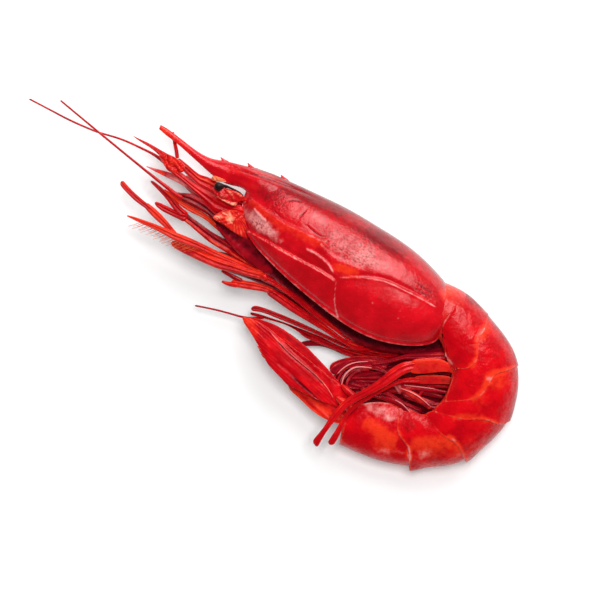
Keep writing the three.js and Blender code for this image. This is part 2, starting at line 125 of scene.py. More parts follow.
def patches(xy, *ovals):
    """Soft-edged ovals added up, each given by its strength and what patch takes."""
    return sum(strength * patch(xy, *oval) for strength, *oval in ovals)


def lay(bm, around, along, surface, paint=None):
    """Lays a grid over a surface given by its turn and length, both from 0 to 1, and tints it."""
    made = bmesh.ops.create_grid(bm, x_segments=around, y_segments=along, size=0.5)["verts"]
    grid = np.array([vert.co[:2] for vert in made]) + 0.5
    points = surface(grid[:, 0], grid[:, 1])
    points[:, 2] = np.maximum(points[:, 2], FLOOR_GAP)
    for vert, point in zip(made, (points + TO_CENTRE) / 1000):
        vert.co = point
    for tint, values in (paint(points, grid[:, 0], grid[:, 1]) if paint else {}).items():
        layer = bm.verts.layers.float[tint]
        for vert, value in zip(made, np.clip(values, 0, 1)):
            vert[layer] = value
    bmesh.ops.remove_doubles(bm, verts=made, dist=1e-7)


def piece(name, nodes, slot, material, *layers):
    """A piece that rides on the prawn and stands for its nodes, of layers given by what lay takes."""
    bm = bmesh.new()
    for tint in TINTS:
        bm.verts.layers.float.new(tint)
    for layer in layers:
        lay(bm, *layer)
    bmesh.ops.recalc_face_normals(bm, faces=bm.faces)
    top = max(bm.faces, key=lambda face: face.calc_center_median().z)
    if top.normal.z < 0:
        bmesh.ops.reverse_faces(bm, faces=bm.faces)
    mesh = bpy.data.meshes.new(name)
    bm.to_mesh(mesh)
    bm.free()
    mesh.shade_smooth()
    mesh.materials.append(material)
    made = bpy.data.objects.new(name, mesh)
    bpy.context.scene.collection.objects.link(made)
    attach(made, "root")
    if nodes:
        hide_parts(*nodes)
    return made


def linear(hex_colour):
    """An sRGB hex colour as linear red, green, blue and alpha."""
    parts = [int(hex_colour[i : i + 2], 16) / 255 for i in (1, 3, 5)]
    return (*(c / 12.92 if c <= 0.04045 else ((c + 0.055) / 1.055) ** 2.4 for c in parts), 1.0)


def add(tree, kind, settings=None, values=None, links=None):
    """Adds a node: settings are its own properties, values fill its sockets and links feed them."""
    node = tree.nodes.new(kind)
    for key, value in (settings or {}).items():
        setattr(node, key, value)
    for key, value in (values or {}).items():
        node.inputs[key].default_value = value
    for key, (source, output) in (links or {}).items():
        tree.links.new(source.outputs[output], node.inputs[key])
    return node


GLOSSY_DARK = 0.8  # dark tint up to which shell keeps its wet gloss
DULL_DARK = 0.9  # dark tint from which it has none, as deep in a hollow


def cooked_shell(
    name, deep, bright, pale="#f2a79c", dark="#240205", roughness=0.27, coat=0.3, crumple=0.45
):
    """Cooked crustacean shell: a stiff stained skin with a wet film, blotched, with an orange tint of its own
    and pale and dark tints that carry painted highlights and painted shade.

    The film gives broad soft lights that dents and fine pits break up, and the stain stays deep.
    """
    material = bpy.data.materials.new(name)
    material.use_nodes = True
    tree = material.node_tree
    tree.nodes.clear()
    place = add(tree, "ShaderNodeTexCoord")
    noises = {}
    sizes_mm = {"blotch": (4.5, 4.0), "fleck": (1.1, 3.0), "dent": (2.4, 3.0), "pit": (0.62, 3.0)}
    for kind, (size_mm, detail) in sizes_mm.items():
        noises[kind] = add(
            tree, "ShaderNodeTexNoise", values={"Scale": 1000 / size_mm, "Detail": detail},
            links={"Vector": (place, "Object")},
        )
    spread = add(
        tree, "ShaderNodeMapRange", {"interpolation_type": "SMOOTHSTEP"},
        {"From Min": 0.36, "From Max": 0.66}, {"Value": (noises["blotch"], "Fac")},
    )
    colour = add(
        tree, "ShaderNodeMix", {"data_type": "RGBA"}, {6: linear(deep), 7: linear(bright)},
        {0: (spread, "Result")},
    )
    broad = add(
        tree, "ShaderNodeMath", {"operation": "MULTIPLY_ADD"}, {1: 0.8, 2: -0.75},
        {0: (noises["blotch"], "Fac")},
    )
    wander = add(
        tree, "ShaderNodeMath", {"operation": "MULTIPLY_ADD"}, {1: 0.7},
        {0: (noises["fleck"], "Fac"), 2: (broad, "Value")},
    )
    amounts = {}
    for tint, shade in (("orange", "#e8331a"), ("pale", pale), ("dark", dark)):
        amounts[tint] = add(tree, "ShaderNodeAttribute", {"attribute_name": tint})
        ragged = add(
            tree, "ShaderNodeMath", {"operation": "ADD"},
            links={0: (amounts[tint], "Fac"), 1: (wander, "Value")},
        )
        share = add(
            tree, "ShaderNodeMapRange", {"interpolation_type": "SMOOTHSTEP"},
            {"From Min": 0.2, "From Max": 0.9}, {"Value": (ragged, "Value")},
        )
        colour = add(
            tree, "ShaderNodeMix", {"data_type": "RGBA"}, {7: linear(shade)},
            {0: (share, "Result"), 6: (colour, 2)},
        )
    gloss = {}  # the film's lights die away in dark hollows, which would else mirror the table
    for socket, most in (("Coat Weight", coat), ("Specular IOR Level", 0.5)):
        gloss[socket] = add(
            tree, "ShaderNodeMapRange",
            values={"From Min": GLOSSY_DARK, "From Max": DULL_DARK, "To Min": most, "To Max": 0.0},
            links={"Value": (amounts["dark"], "Fac")},
        )
    pitted = add(tree, "ShaderNodeAttribute", {"attribute_name": "pitted"})
    # the pits are painted a darker red: painted shade in them
    hole = add(
        tree, "ShaderNodeMapRange", values={"From Min": 0.48, "From Max": 0.64, "To Max": 0.75},
        links={"Value": (noises["pit"], "Fac")},
    )
    speck = add(
        tree, "ShaderNodeMath", {"operation": "MULTIPLY"},
        links={0: (hole, "Result"), 1: (pitted, "Fac")},
    )
    colour = add(
        tree, "ShaderNodeMix", {"data_type": "RGBA"}, {7: linear("#8a0512")},
        {0: (speck, "Value"), 6: (colour, 2)},
    )
    dents = add(
        tree, "ShaderNodeBump", values={"Strength": 0.5, "Distance": crumple / 1000},
        links={"Height": (noises["dent"], "Fac")},
    )
    roughen = add(
        tree, "ShaderNodeMapRange", values={"To Min": 0.12, "To Max": 1.0},
        links={"Value": (pitted, "Fac")},
    )
    pits = add(
        tree, "ShaderNodeBump", {"invert": True}, {"Distance": 0.26 / 1000},
        {
            "Height": (noises["pit"], "Fac"), "Strength": (roughen, "Result"),
            "Normal": (dents, "Normal"),
        },
    )
    wet = add(
        tree, "ShaderNodeMapRange", values={"To Min": roughness - 0.08, "To Max": roughness + 0.08},
        links={"Value": (noises["fleck"], "Fac")},
    )
    shader = add(
        tree, "ShaderNodeBsdfPrincipled",
        values={
            "IOR": 1.5, "Specular Tint": (1.0, 0.62, 0.62, 1.0), "Coat Roughness": 0.12, "Coat IOR": 1.4,
        },
        links={
            "Base Color": (colour, 2), "Roughness": (wet, "Result"), "Normal": (pits, "Normal"),
            **{socket: (level, "Result") for socket, level in gloss.items()},
        },
    )
    add(tree, "ShaderNodeOutputMaterial", links={"Surface": (shader, "BSDF")})
    return material


def flank_of(turn):
    """Where a turn lies on the flanks, from -1 at one free edge by 0 on the back to 1 at the other."""
    return np.clip(turn / FLANK_SHARE, 0, 1) * 2 - 1


def body_ring(body, turn, t):
    """Places on a body shell, which way is out from them, the flank they are on and the body's middle."""
    top = follow(body["back"], t)
    bottom = follow(body["belly"], t)
    girth = follow(body["girth"], t)
    rise = top - bottom
    depth = np.hypot(rise[:, 0], rise[:, 1])[:, None] / 2
    rise = rise / (2 * depth)
    half = girth[:, :1]
    flank = flank_of(turn)
    under = np.clip((turn - FLANK_SHARE) / (1 - FLANK_SHARE), 0, 1)
    angle = np.abs(flank) * LIP_ANGLE
    reach = 1 - np.cos(LIP_ANGLE)
    up = 1 - 2 * (1 - np.cos(angle)) / reach
    out = np.sign(flank) * np.sin(angle)
    below = turn > FLANK_SHARE
    up = np.where(below, -1 + body["recess"] * np.sin(np.pi * under) ** 0.5, up)
    out = np.where(below, np.sin(LIP_ANGLE) * (1 - 2 * under), out)
    lean = np.cos(angle)[:, None] * half
    lift = (2 * np.sin(angle) / reach)[:, None] * depth
    size = np.hypot(lean, lift)
    outward = np.hstack((rise * lean / size, np.sign(flank)[:, None] * lift / size))
    outward[below] = 0
    middle = np.hstack(((top + bottom) / 2, girth[:, 1:2]))
    points = middle + np.hstack((rise * depth * up[:, None], out[:, None] * half))
    return points, outward, flank, middle


def closed_body(body, relief, cup):
    """The surface of a whole body shell, its two ends drawn in as shallow cups."""
    rim = 0.04
    nudge = 1e-3

    def surface(turn, length):
        t = np.clip((length - rim) / (1 - 2 * rim), 0, 1)
        points, outward, flank, middle = body_ring(body, turn, t)
        points = points + outward * (relief(points, flank, t) * (np.abs(flank) < 1))[:, None]
        shut = np.clip(np.maximum(rim - length, length - 1 + rim) / rim, 0, 1)[:, None]
        ahead = body_ring(body, turn, np.clip(t + nudge, 0, 1))[3]
        onward = ahead - body_ring(body, turn, np.clip(t - nudge, 0, 1))[3]
        onward = onward / np.linalg.norm(onward, axis=1)[:, None]
        inward = np.where(length < 0.5, cup, -cup)[:, None]
        return middle + (points - middle) * (1 - shut) + onward * inward * np.minimum(1, 5 * shut)

    return surface


CARAPACE = {
    "back": [
        (-11.25, 33.2), (-8.75, 32.3), (-5.75, 31.2), (-2.5, 29.7), (1.3, 28), (5.1, 26.2), (10, 23.9),
        (14.8, 21.3), (19.7, 18.3), (25, 15), (30, 11.2), (33.9, 7.3), (36.1, 4.8), (37, 3.2),
    ],
    "belly": [
        (-14, 26), (-14.5, 23), (-14, 19.5), (-12.6, 16), (-10.5, 12.8), (-7, 9), (-2, 4.25), (4.25, -0.9),
        (10.75, -5.8), (17.5, -9.4), (23.75, -11), (29.25, -11.4), (33, -10.75), (34.5, -9.5),
    ],
    "girth": [(half, MID) for half in (1.9, 3.3, 4.8, 6.2, 7.3, 8.3, 9.4, 10.1, 10.35)]
    + [(10.3, MID - 0.1), (9.9, MID - 0.3), (9.1, MID - 0.6), (8.3, MID - 0.9), (7.8, MID - 1)],
    "recess": 0.5,
}
UPPER_RIDGE = [
    (-12.6, 25.4), (-11.5, 24.4), (-8.1, 21.9), (-4.8, 19.5), (-1.8, 17.9), (1.8, 16.4), (5.4, 14.6),
    (7.4, 14.8),
]
UPPER_TURN = [(4.4, 13.8), (5.7, 12.6), (7.8, 10.8), (10.5, 9.3), (13, 8.5), (16, 7)]
LOWER_RIDGE = [
    (-13, 17.4), (-12.4, 16.8), (-9.6, 15.3), (-6.3, 13.2), (-3, 11.4), (0.6, 9.3), (4.2, 7.5), (7.2, 5.7),
    (8.8, 4.4),
]
SHORT_RIDGE = [(1, 12.9), (1.8, 12.6), (3.6, 11.7), (5.4, 10.2), (6.9, 9), (8.1, 7.2), (8.7, 5.8)]
CHEEK_FOLD = [(-11.6, 23.1), (-10.2, 21.3), (-8.4, 19.5)]
BRANCHIAL_SEAM = [
    (8.8, 5.5), (13, 5.6), (16.9, 5.3), (20.5, 4.8), (23.75, 3.5), (27, 1.9), (30.3, 0.25), (34.6, -2.2),
]
PLATE_SEAM = [(9.1, 5.4), (8.7, 2.4), (8.6, -0.4), (9, -2.8), (9.6, -4.6)]
CREST_GROOVE = [
    (8, 23.6), (3, 26), (-2, 28.2), (-6, 29.7), (-10, 31), (-13.5, 32), (-17, 33.2), (-21, 34.6),
]
CRACKS = [
    [(1.9, 22.9), (0.8, 21.6), (-0.9, 19.8)],
    [(0.6, 19), (2.4, 18), (4.8, 15.9), (7.4, 15.4)],
    [(-8.1, 23.3), (-6, 22), (-4.8, 20.3), (-3, 19.6)],
    [(-3.6, 24.6), (-1.4, 25), (0.6, 24.4)],
]
BLEMISHES = [
    (18, -0.8, 0.6), (15, 1.4, 0.4), (21.6, -2.8, 0.5), (24.4, -4.6, 0.5), (13.4, 2.4, 0.3),
    (23.4, -3.6, 0.3), (25.6, -4.2, 0.3), (5.7, 24.4, 0.6), (14.6, -2.4, 0.3), (12, -0.6, 0.3),
    (28, -5.4, 0.3),
]
REAR_SCRATCH = [(26, 4.4), (29, 2.4), (32, 0.6), (34.6, -1)]
# the next two creases are drawn only as painted shade, with no groove under them
REAR_CREASE = [(24.5, 5.2), (27.5, 3.6), (30.6, 1.7), (34, -0.1)]
SHORT_CREASE = [(28.2, 4.8), (31, 2.9), (34.4, 0.7)]
LOWER_GROOVE = shifted(LOWER_RIDGE, 0.3, 0.6)
SEAM_GROOVE = shifted(BRANCHIAL_SEAM, 0.2, 0.6)
CREST_SHINE = shifted(CREST_GROOVE, 0, 0.8)
BACK_EDGE = UPPER_RIDGE[:-2] + [(3.4, 14.2), (8, 9.6), (13, 7.2)] + BRANCHIAL_SEAM[2:]
FLANK_GIRTH = 24.0  # from the back to a free edge
HEAD_LENGTH = 55.0  # along the carapace


def carapace_relief(points, flank, t):
    """Height of the carapace's ridges, folds, seams, cracks and rims."""
    xy = points[:, :2]
    height = strokes(
        xy, (UPPER_RIDGE, 0.6, 0.4, 2.4), (CHEEK_FOLD, 0.3, 0.35, 0.6), (UPPER_TURN, 0.3, 0.6, 1.6),
        (SHORT_RIDGE, 0.45, 0.3, 0.9, 0.2, 0.2), (LOWER_RIDGE, 0.5, 0.28, 2.4, 0.04, 0.2),
        (LOWER_GROOVE, -0.28, 0.6, 0.35), (BRANCHIAL_SEAM, 0.18, 0.25, 0.4, 0.08, 0.6),
        (SEAM_GROOVE, -0.3, 0.6, 0.3, 0.3), (PLATE_SEAM, 0.2, 0.25, 0.25), (PLATE_SEAM, -0.2, 0.9, 0.9),
        (CREST_GROOVE, -0.3, 0.5, 0.3, 0.3), *((crack, -0.14, 0.15, 0.22, 0.4, 0.3) for crack in CRACKS),
    )
    near, side, _ = to_line(xy, BRANCHIAL_SEAM)
    rim = (1 - np.abs(flank)) * FLANK_GIRTH
    pillow = np.where(side < 0, ease(-0.3, 5.5, near), 0) * ease(0, 7, rim)
    height += pillow * (0.15 + 0.5 * ease(15, 25, xy[:, 0])) * ease(0, 2.5, xy[:, 0] - 8.6)
    height += 0.2 * bell(rim - 0.2, 0.28) - 0.16 * bell(rim - 0.8, 0.35)
    return height + 0.1 * bell((1 - t) * HEAD_LENGTH, 0.5)


def carapace_paint(points, turn, length):
    """Tints of the carapace: orange ridges, pale blemishes and scars, painted highlights as haze, rims and
    ridge lines, dark cracks, painted shade in grooves, along the back and underneath, a darker upper flank
    and pits in its haze.
    """
    xy = points[:, :2]
    shown = turn <= FLANK_SHARE
    flank = flank_of(turn)
    # two patches painted pale as the lamp's haze on the flank, each with pits in it
    frost_and_sheen = np.minimum(1, 1.3 * patch(xy, -9.9, 18.9, 10.6, 2.9, -40))
    pitted_haze = np.minimum(1, 1.5 * patch(xy, 12.5, 13, 12.5, 6, -30))
    orange = strokes(
        xy, (UPPER_RIDGE, 0.52, 0.3, 2.6), (LOWER_RIDGE, 0.5, 0.3, 0.4), (BRANCHIAL_SEAM, 0.55, 0.3, 0.4),
    )
    orange += patches(
        xy, (0.85, 11.5, 7.6, 6, 2.6, -14), (0.7, 36, 1, 2.4, 4.5, 20), (0.4, -12, 28.5, 8, 1.6, -24),
    )
    # pale: painted highlights as the lamp's haze on the flank and back and a thin light on the lower rim;
    # pale lines on the ridges and seams, partly painted highlights; pale blemishes and a scratch
    pale = 0.78 * frost_and_sheen + 0.42 * pitted_haze + 0.5 * bell((1 - np.abs(flank)) * FLANK_GIRTH - 0.15, 0.28)
    pale += strokes(
        xy, (SHORT_RIDGE, 0.9, 0.24, 0.32, 0.2, 0.3), (UPPER_RIDGE, 0.4, 0.25, 0.25, 0.1, 0.6),
        (CREST_SHINE, 0.4, 0.9, 0.5, 0.3), (LOWER_RIDGE, 0.75, 0.22, 0.22, 0.05, 0.4),
        (BRANCHIAL_SEAM, 0.8, 0.22, 0.25, 0.04, 0.5), (PLATE_SEAM, 0.6, 0.22, 0.22),
        (CHEEK_FOLD, 0.6, 0.3, 0.3), (REAR_SCRATCH, 0.5, 0.3, 0.3, 0.2, 0.9),
    )
    pale += patches(
        xy, (0.36, -1.8, 22.2, 3.6, 4, 20), (0.4, 3.8, 20.4, 5.4, 3, -18), (0.3, 21, 8, 12, 4.4, -30),
        (0.22, 16, 20.4, 22, 2.2, -32), *((0.5, x, y, size, size) for x, y, size in BLEMISHES),
    )
    # dark: cracks, and painted shade in the grooves and creases; the patches are darker bands of the shell
    dark = strokes(
        xy, *((crack, 0.75, 0.16, 0.22, 0.4, 0.3) for crack in CRACKS), (LOWER_GROOVE, 0.3, 0.3, 0.3),
        (SEAM_GROOVE, 0.35, 0.3, 0.3, 0.3), (REAR_CREASE, 0.45, 0.35, 0.4, 0.3),
        (SHORT_CREASE, 0.4, 0.35, 0.4, 0.3), (CREST_GROOVE, 0.5, 0.25, 0.25, 0.3),
    )
    dark += patches(
        xy, (0.45, 4, 24.6, 16, 3.4, -24), (0.5, 21.6, 13.8, 10, 3, -38), (0.3, 15, 17.4, 11, 2.2, -34),
        (0.3, -8, 26.6, 8, 5, -24),
    )
    # a darker upper flank, and painted shade along the back's edge, where the shell turns away
    near, side, _ = to_line(xy, BACK_EDGE)
    dark += np.where(side > 0, 0.3 * ease(0.4, 2.6, near), 0) + 0.5 * bell(flank, 0.18)
    pitted = 0.05 + 0.45 * frost_and_sheen + 1.4 * pitted_haze
    pitted += patches(
        xy, (0.9, -10.6, 18.8, 3.6, 2.2, -50), (1.3, 31, 2.4, 7, 3, -38), (0.7, -6, 23, 6, 5),
    )
    # the underside is painted fully dark, as painted shade
    return {
        "orange": orange * shown, "pale": pale * shown, "pitted": pitted * shown,
        "dark": np.where(shown, np.minimum(dark, GLOSSY_DARK), 1),
    }


ROSTRUM = {
    "back": [
        (0, 27.6), (-5, 30.5), (-10, 32.7), (-13.25, 33.5), (-16, 34.2), (-19, 34.9), (-21.25, 35.2),
        (-23.75, 36), (-26.25, 37.6), (-28.5, 39.4), (-31, 41.3), (-33, 42.8), (-34.9, 43.9),
    ],
    "belly": [
        (-9.5, 22.5), (-12.5, 26), (-14.2, 27.9), (-16, 28.5), (-18, 29), (-20.25, 30), (-22.5, 31.75),
        (-25, 34), (-27.5, 36.25), (-30, 38.5), (-32, 40.1), (-33.6, 41.3), (-35.3, 42.8),
    ],
    "girth": [
        (half, MID)
        for half in (5.2, 4.4, 3.4, 2.7, 2.15, 1.8, 1.6, 1.35, 1.1, 0.85, 0.7, 0.6, 0.45)
    ],
    "recess": 0.1,
}
BEAK_KEEL = [(-9, 29), (-13, 30.4), (-18, 32), (-22, 33.6), (-26, 36.4), (-30, 39.6)]


def rostrum_relief(points, flank, t):
    """Height of the beak's groove and keel."""
    return strokes(points[:, :2], (CREST_GROOVE, -0.4, 0.5, 0.25, 0.4), (BEAK_KEEL, 0.3, 0.5, 1.3, 0.4))


def rostrum_paint(points, turn, length):
    """Tints of the beak: painted shade in its crest groove, painted highlights along its shine and keel, an
    orange line and tip, passing into the carapace's own at its root.
    """
    xy = points[:, :2]
    beak = {
        "dark": stroke(xy, CREST_GROOVE, 0.8, 0.3, 0.3, 0.4),
        "pale": strokes(xy, (CREST_SHINE, 0.4, 0.9, 0.5, 0.4), (BEAK_KEEL, 0.25, 0.2, 0.3, 0.4)),
        "orange": 0.2 + stroke(xy, shifted(CREST_GROOVE, 0, -0.6), 0.5, 0.3, 0.5, 0.4)
        + 0.4 * ease(0.55, 1, length),
        "pitted": np.full(len(xy), 0.05),
    }
    shell = carapace_paint(points, turn, length)
    root = ease(-17, -9, xy[:, 0])
    return {tint: (1 - root) * beak[tint] + root * shell[tint] for tint in TINTS}


def evenly(points, t):
    """Places at even steps along a smooth curve through the given points."""
    fine = follow(points, np.linspace(0, 1, 240))
    run = np.concatenate(([0], np.cumsum(np.linalg.norm(np.diff(fine, axis=0), axis=1))))
    return np.stack([np.interp(t, run / run[-1], fine[:, k]) for k in range(fine.shape[1])], -1)


def between(left, right, heights, roundness=0.8, keel=0.0, relief=None, square=0.75):
    """The surface of a limb drawn by its two edges from root to tip, squarish and blunt-ended."""
    heights = np.asarray(heights, float)[:, None]
    steps = np.linspace(0, 1, 60)
    middle = (evenly(left, steps) + evenly(right, steps)) / 2
    span = np.linalg.norm(np.diff(middle, axis=0), axis=1).sum()

    def surface(turn, length):
        t = (1 - np.cos(np.pi * length)) / 2
        start = evenly(left, t)
        end = evenly(right, t)
        half = (end - start) / 2
        width = np.hypot(half[:, 0], half[:, 1])
        gap = np.minimum(t, 1 - t) * span / np.maximum(width, 0.15)
        close = np.sqrt(1 - (1 - np.clip(gap, 0, 1)) ** 2)
        c, s = np.cos(2 * np.pi * (turn % 1)), np.sin(2 * np.pi * (turn % 1))
        flat = np.sign(c) * np.abs(c) ** square
        flutes = bell(flat - 0.38, 0.17) - 0.8 * bell(flat + 0.04, 0.2) + 0.6 * bell(flat + 0.48, 0.17)
        xy = (start + end) / 2 - half * (flat * close)[:, None]
        up = np.sign(s) * np.abs(s) ** square + keel * flutes * (s > 0)
        z = evenly(heights, t)[:, 0] + close * width * roundness * up
        if relief:
            z = z + relief(xy) * np.clip(s * 2, 0, 1) * close
        return np.column_stack((xy, z))

    return surface


def tube(joints, thin=1.0):
    """The surface of a round limb along joints given as x, y, height and half width."""
    joints = np.asarray(joints, float)

    def surface(turn, length):
        t = (1 - np.cos(np.pi * length)) / 2
        here = evenly(joints, t)
        ahead = evenly(joints, np.clip(t + 2e-3, 0, 1))[:, :3]
        along = ahead - evenly(joints, np.clip(t - 2e-3, 0, 1))[:, :3]
        span = np.linalg.norm(np.diff(joints[:, :3], axis=0), axis=1).sum()
        along /= np.linalg.norm(along, axis=1)[:, None]
        across = np.cross(along, (0, 0, 1))
        across /= np.linalg.norm(across, axis=1)[:, None]
        over = np.cross(across, along)
        gap = np.minimum(t, 1 - t) * span / np.maximum(here[:, 3], 0.1)
        width = np.maximum(here[:, 3], 0.05) * np.sqrt(1 - (1 - np.clip(gap, 0, 1)) ** 2)
        angle = 2 * np.pi * (turn % 1)
        return (
            here[:, :3]
            + across * (width * np.cos(angle))[:, None]
            + over * (width * thin * np.sin(angle))[:, None]
        )

    return surface


def across_limb(turn):
    """Where across a limb a turn lies, from 1 on its first edge to -1 on its second."""
    return np.cos(2 * np.pi * turn)


def underside(turn):
    """1 on the lower face of a limb, 0 on its edges and upper face."""
    return (turn > 0.55) * (turn < 0.95)


def tinted(orange=0.0, pale=0.0, dark=0.0, tip=0.0, edge=0.0, root=0.0, core=0.36):
    """A limb's tints: overall, then orange at its tip, orange edges and ridge with pale painted highlights on
    them, and painted shade at its root, in its groove and underneath.
    """

    def paint(points, turn, length):
        across = across_limb(turn)
        on_top = turn < 0.5
        rim = np.abs(across)
        ridge = bell(across - 0.3, 0.13) * on_top
        groove = bell(across + 0.03, 0.24) * on_top
        return {
            "orange": orange + tip * ease(0.55, 1, length) + edge * ease(0.6, 0.95, rim) + 0.45 * ridge,
            "pale": pale + edge * (0.8 * ease(0.9, 1, rim) + 0.6 * ridge),
            "dark": dark + root * (1 - ease(0, 0.35, length)) + core * groove + 0.5 * underside(turn),
        }

    return paint


TEETH = [
    [(-3, 29.2, 0.8), (-4.1, 30.4, 0.5), (-4.8, 31.4, 0.08)],
    [(-11.2, 32, 0.9), (-12.4, 33.3, 0.5), (-13.1, 34.4, 0.08)],
    [(-17.9, 33.9, 0.8), (-19.1, 34.9, 0.45), (-19.9, 35.8, 0.08)],
]
# Thick smooth shell: a wet film over an even deep red gives broad clear lights.
HEAD_SHELL = cooked_shell(
    "glossy cooked head shell", "#ba0815", "#d20c1b", pale="#e8928f", dark="#7c0813", roughness=0.25,
)
piece(
    "carapace_shell", ["carapace"], "shell", HEAD_SHELL,
    (270, 270, closed_body(CARAPACE, carapace_relief, cup=1.5), carapace_paint),
    (60, 180, closed_body(ROSTRUM, rostrum_relief, cup=0.0), rostrum_paint),
    *(
        (14, 20, tube([(x, y, MID, half) for x, y, half in tooth], 0.7), tinted(pale=0.3))
        for tooth in TEETH
    ),
)

# Abdomen: six ringed plates that overlap like roof tiles, each rear rim over the next plate, round
# firm flesh that shows orange through the soft skin between them. The side lobes hang free.
ABDOMEN = {
    "back": [
        (37.2, 4.1), (42.2, 1.5), (47, -3.6), (51.7, -9.5), (54.5, -15.6), (54.5, -23.8), (51.9, -31),
        (46.9, -36.2), (41.4, -40.4), (34.5, -41.8), (27.2, -41.7), (18.4, -39.9), (9.9, -36.1),
    ],
    "belly": [
        (35, -10.25), (36.2, -14.5), (38.2, -17.2), (38, -20), (37.2, -22.5), (35.8, -25), (34, -27),
        (32.2, -28.3), (30, -28.6), (28, -27.8), (25.5, -26.6), (18.75, -25.75), (11.5, -27),
    ],
    "girth": [
        (7.6, 8.8), (7.9, 8.4), (8.1, 8), (8.2, 7.8), (8.1, 7.6), (7.8, 7.4), (7.4, 7.1), (6.9, 6.9),
        (6.4, 6.7), (5.9, 6.6), (5.4, 6.5), (4.8, 6.4), (4, 6.3),
    ],
    "recess": 0.28,
}
NECK = {"back": [(30.5, 8.5), (34, 5.6)], "belly": [(30, -9), (33, -9.6)], "girth": [(7, 9.1), (7.3, 9)]}
SHELL_MM = 0.35  # thickness of a plate
MARGINS = [  # front edges of the plates, each from back to belly
    [(40.2, 3.4), (39.6, 1.8), (38.9, -0.4), (38.1, -2.9), (36.3, -4.9), (35.2, -7.6), (34.9, -10.3),
     (35.5, -12.7), (36.9, -14.5), (38.6, -16.9)],
    [(47.6, -2), (46.8, -4.6), (46.1, -7), (45, -9.1), (43.5, -10.6), (44, -13), (43.5, -15.4), (42, -17.3),
     (40, -17.8), (36, -18)],
    [(57, -15.6), (54.1, -16.6), (51.1, -18), (47.1, -19), (46.4, -21), (44.7, -23.6), (42, -25),
     (34, -25.5)],
    [(54, -29.5), (51.8, -30.4), (49.5, -31.4), (46.7, -30), (43.4, -29.5), (40.1, -29.7), (36.8, -28.7),
     (30, -27)],
    [(42.5, -43), (41.3, -40.3), (40.2, -38.2), (38.7, -35.7), (36.8, -34.3), (34, -32.5), (30, -27)],
    [(27.4, -44), (27.3, -41), (27.2, -38), (26.6, -35.4), (25, -33.8), (24.2, -32), (24.2, -29.5),
     (25, -25)],
]
SPINES = [0.0, 0.0, 0.3, 0.5, 1.0, 0.0]  # rise of each plate's hind edge on the back
JOINT_BANDS = [  # where orange flesh shows through at the joints
    [(47, -4.5), (46.1, -7), (45, -9), (43.4, -10.5), (44, -13), (43.4, -15.4), (41.8, -17.4)],
    [(54.2, -16.6), (51, -17.6), (47.5, -18.8), (46.6, -20.6), (44.6, -23.4), (42, -25.2)],
    [(49.6, -31.4), (46.7, -30), (43.2, -29.3), (40, -29.1), (37.5, -29.8)],
    [(40.2, -39.4), (39.4, -37), (38.6, -34.9), (36.4, -34)],
]
TAIL_BAND = [(16, -29.4), (18.5, -31), (21.5, -33.4), (25, -35.5)]
SIDE_BAND = [(27, -35.5), (31, -35.4), (35.5, -35), (38.5, -36)]
REAR_BAND = [(27.2, -36.2), (27.2, -38.4), (27.3, -41.2)]


FLANK_SHARES = np.linspace(0, 1, 45)  # from the back to a free edge
PLATE_GIRTH = 20.0  # of a plate's flank
TUCK = 0.03  # share of the abdomen's length that a plate runs in under the one before it


def crossings(line):
    """Where along the abdomen each flank line, from back to belly, crosses a drawn margin."""
    steps = np.linspace(0, 1, 900)
    found = []
    for share in FLANK_SHARES:
        turn = np.full(len(steps), (share + 1) / 2 * FLANK_SHARE)
        found.append(steps[np.argmin(to_line(body_ring(ABDOMEN, turn, steps)[0][:, :2], line)[0])])
    padded = np.concatenate(([found[0]] * 2, found, [found[-1]] * 2))
    return np.convolve(padded, np.ones(5) / 5, "valid")


EDGES = [crossings(line) for line in MARGINS] + [np.ones_like(FLANK_SHARES)]


def plate_surface(index):
    """One plate, from under the plate before it to its own rear rim, its side lobes rounded."""

    def surface(turn, run):
        flank = turn * 2 - 1
        share = np.abs(flank)
        front = np.interp(share, FLANK_SHARES, EDGES[index]) - (TUCK if index else 0)
        rear = np.interp(share, FLANK_SHARES, EDGES[index + 1])
        lobe = 0.94 + 0.06 * np.sin(np.pi * np.clip(run, 0, 1)) ** 0.6
        around = (flank * lobe + 1) / 2 * FLANK_SHARE
        points, outward, _, _ = body_ring(ABDOMEN, around, front + (rear - front) * run)
        lift = -0.08 + 0.22 * run + 0.1 * bell(1 - run, 0.05)
        lift += 0.4 * np.sin(np.pi * run) ** 0.7 * ease(0.4, 0.75, share)
        lift += SPINES[index] * ease(0.7, 1, run) * bell(flank, 0.16)
        lift += 0.1 * bell((1 - share) * PLATE_GIRTH, 0.4)
        if index == 0:
            lift -= 0.25 * (1 - ease(0, 0.3, run)) * (1 - ease(0.3, 0.5, share))
            lift += 0.2 * bell(run, 0.06) * ease(0.3, 0.5, share)
        return points + outward * lift[:, None]

    return surface


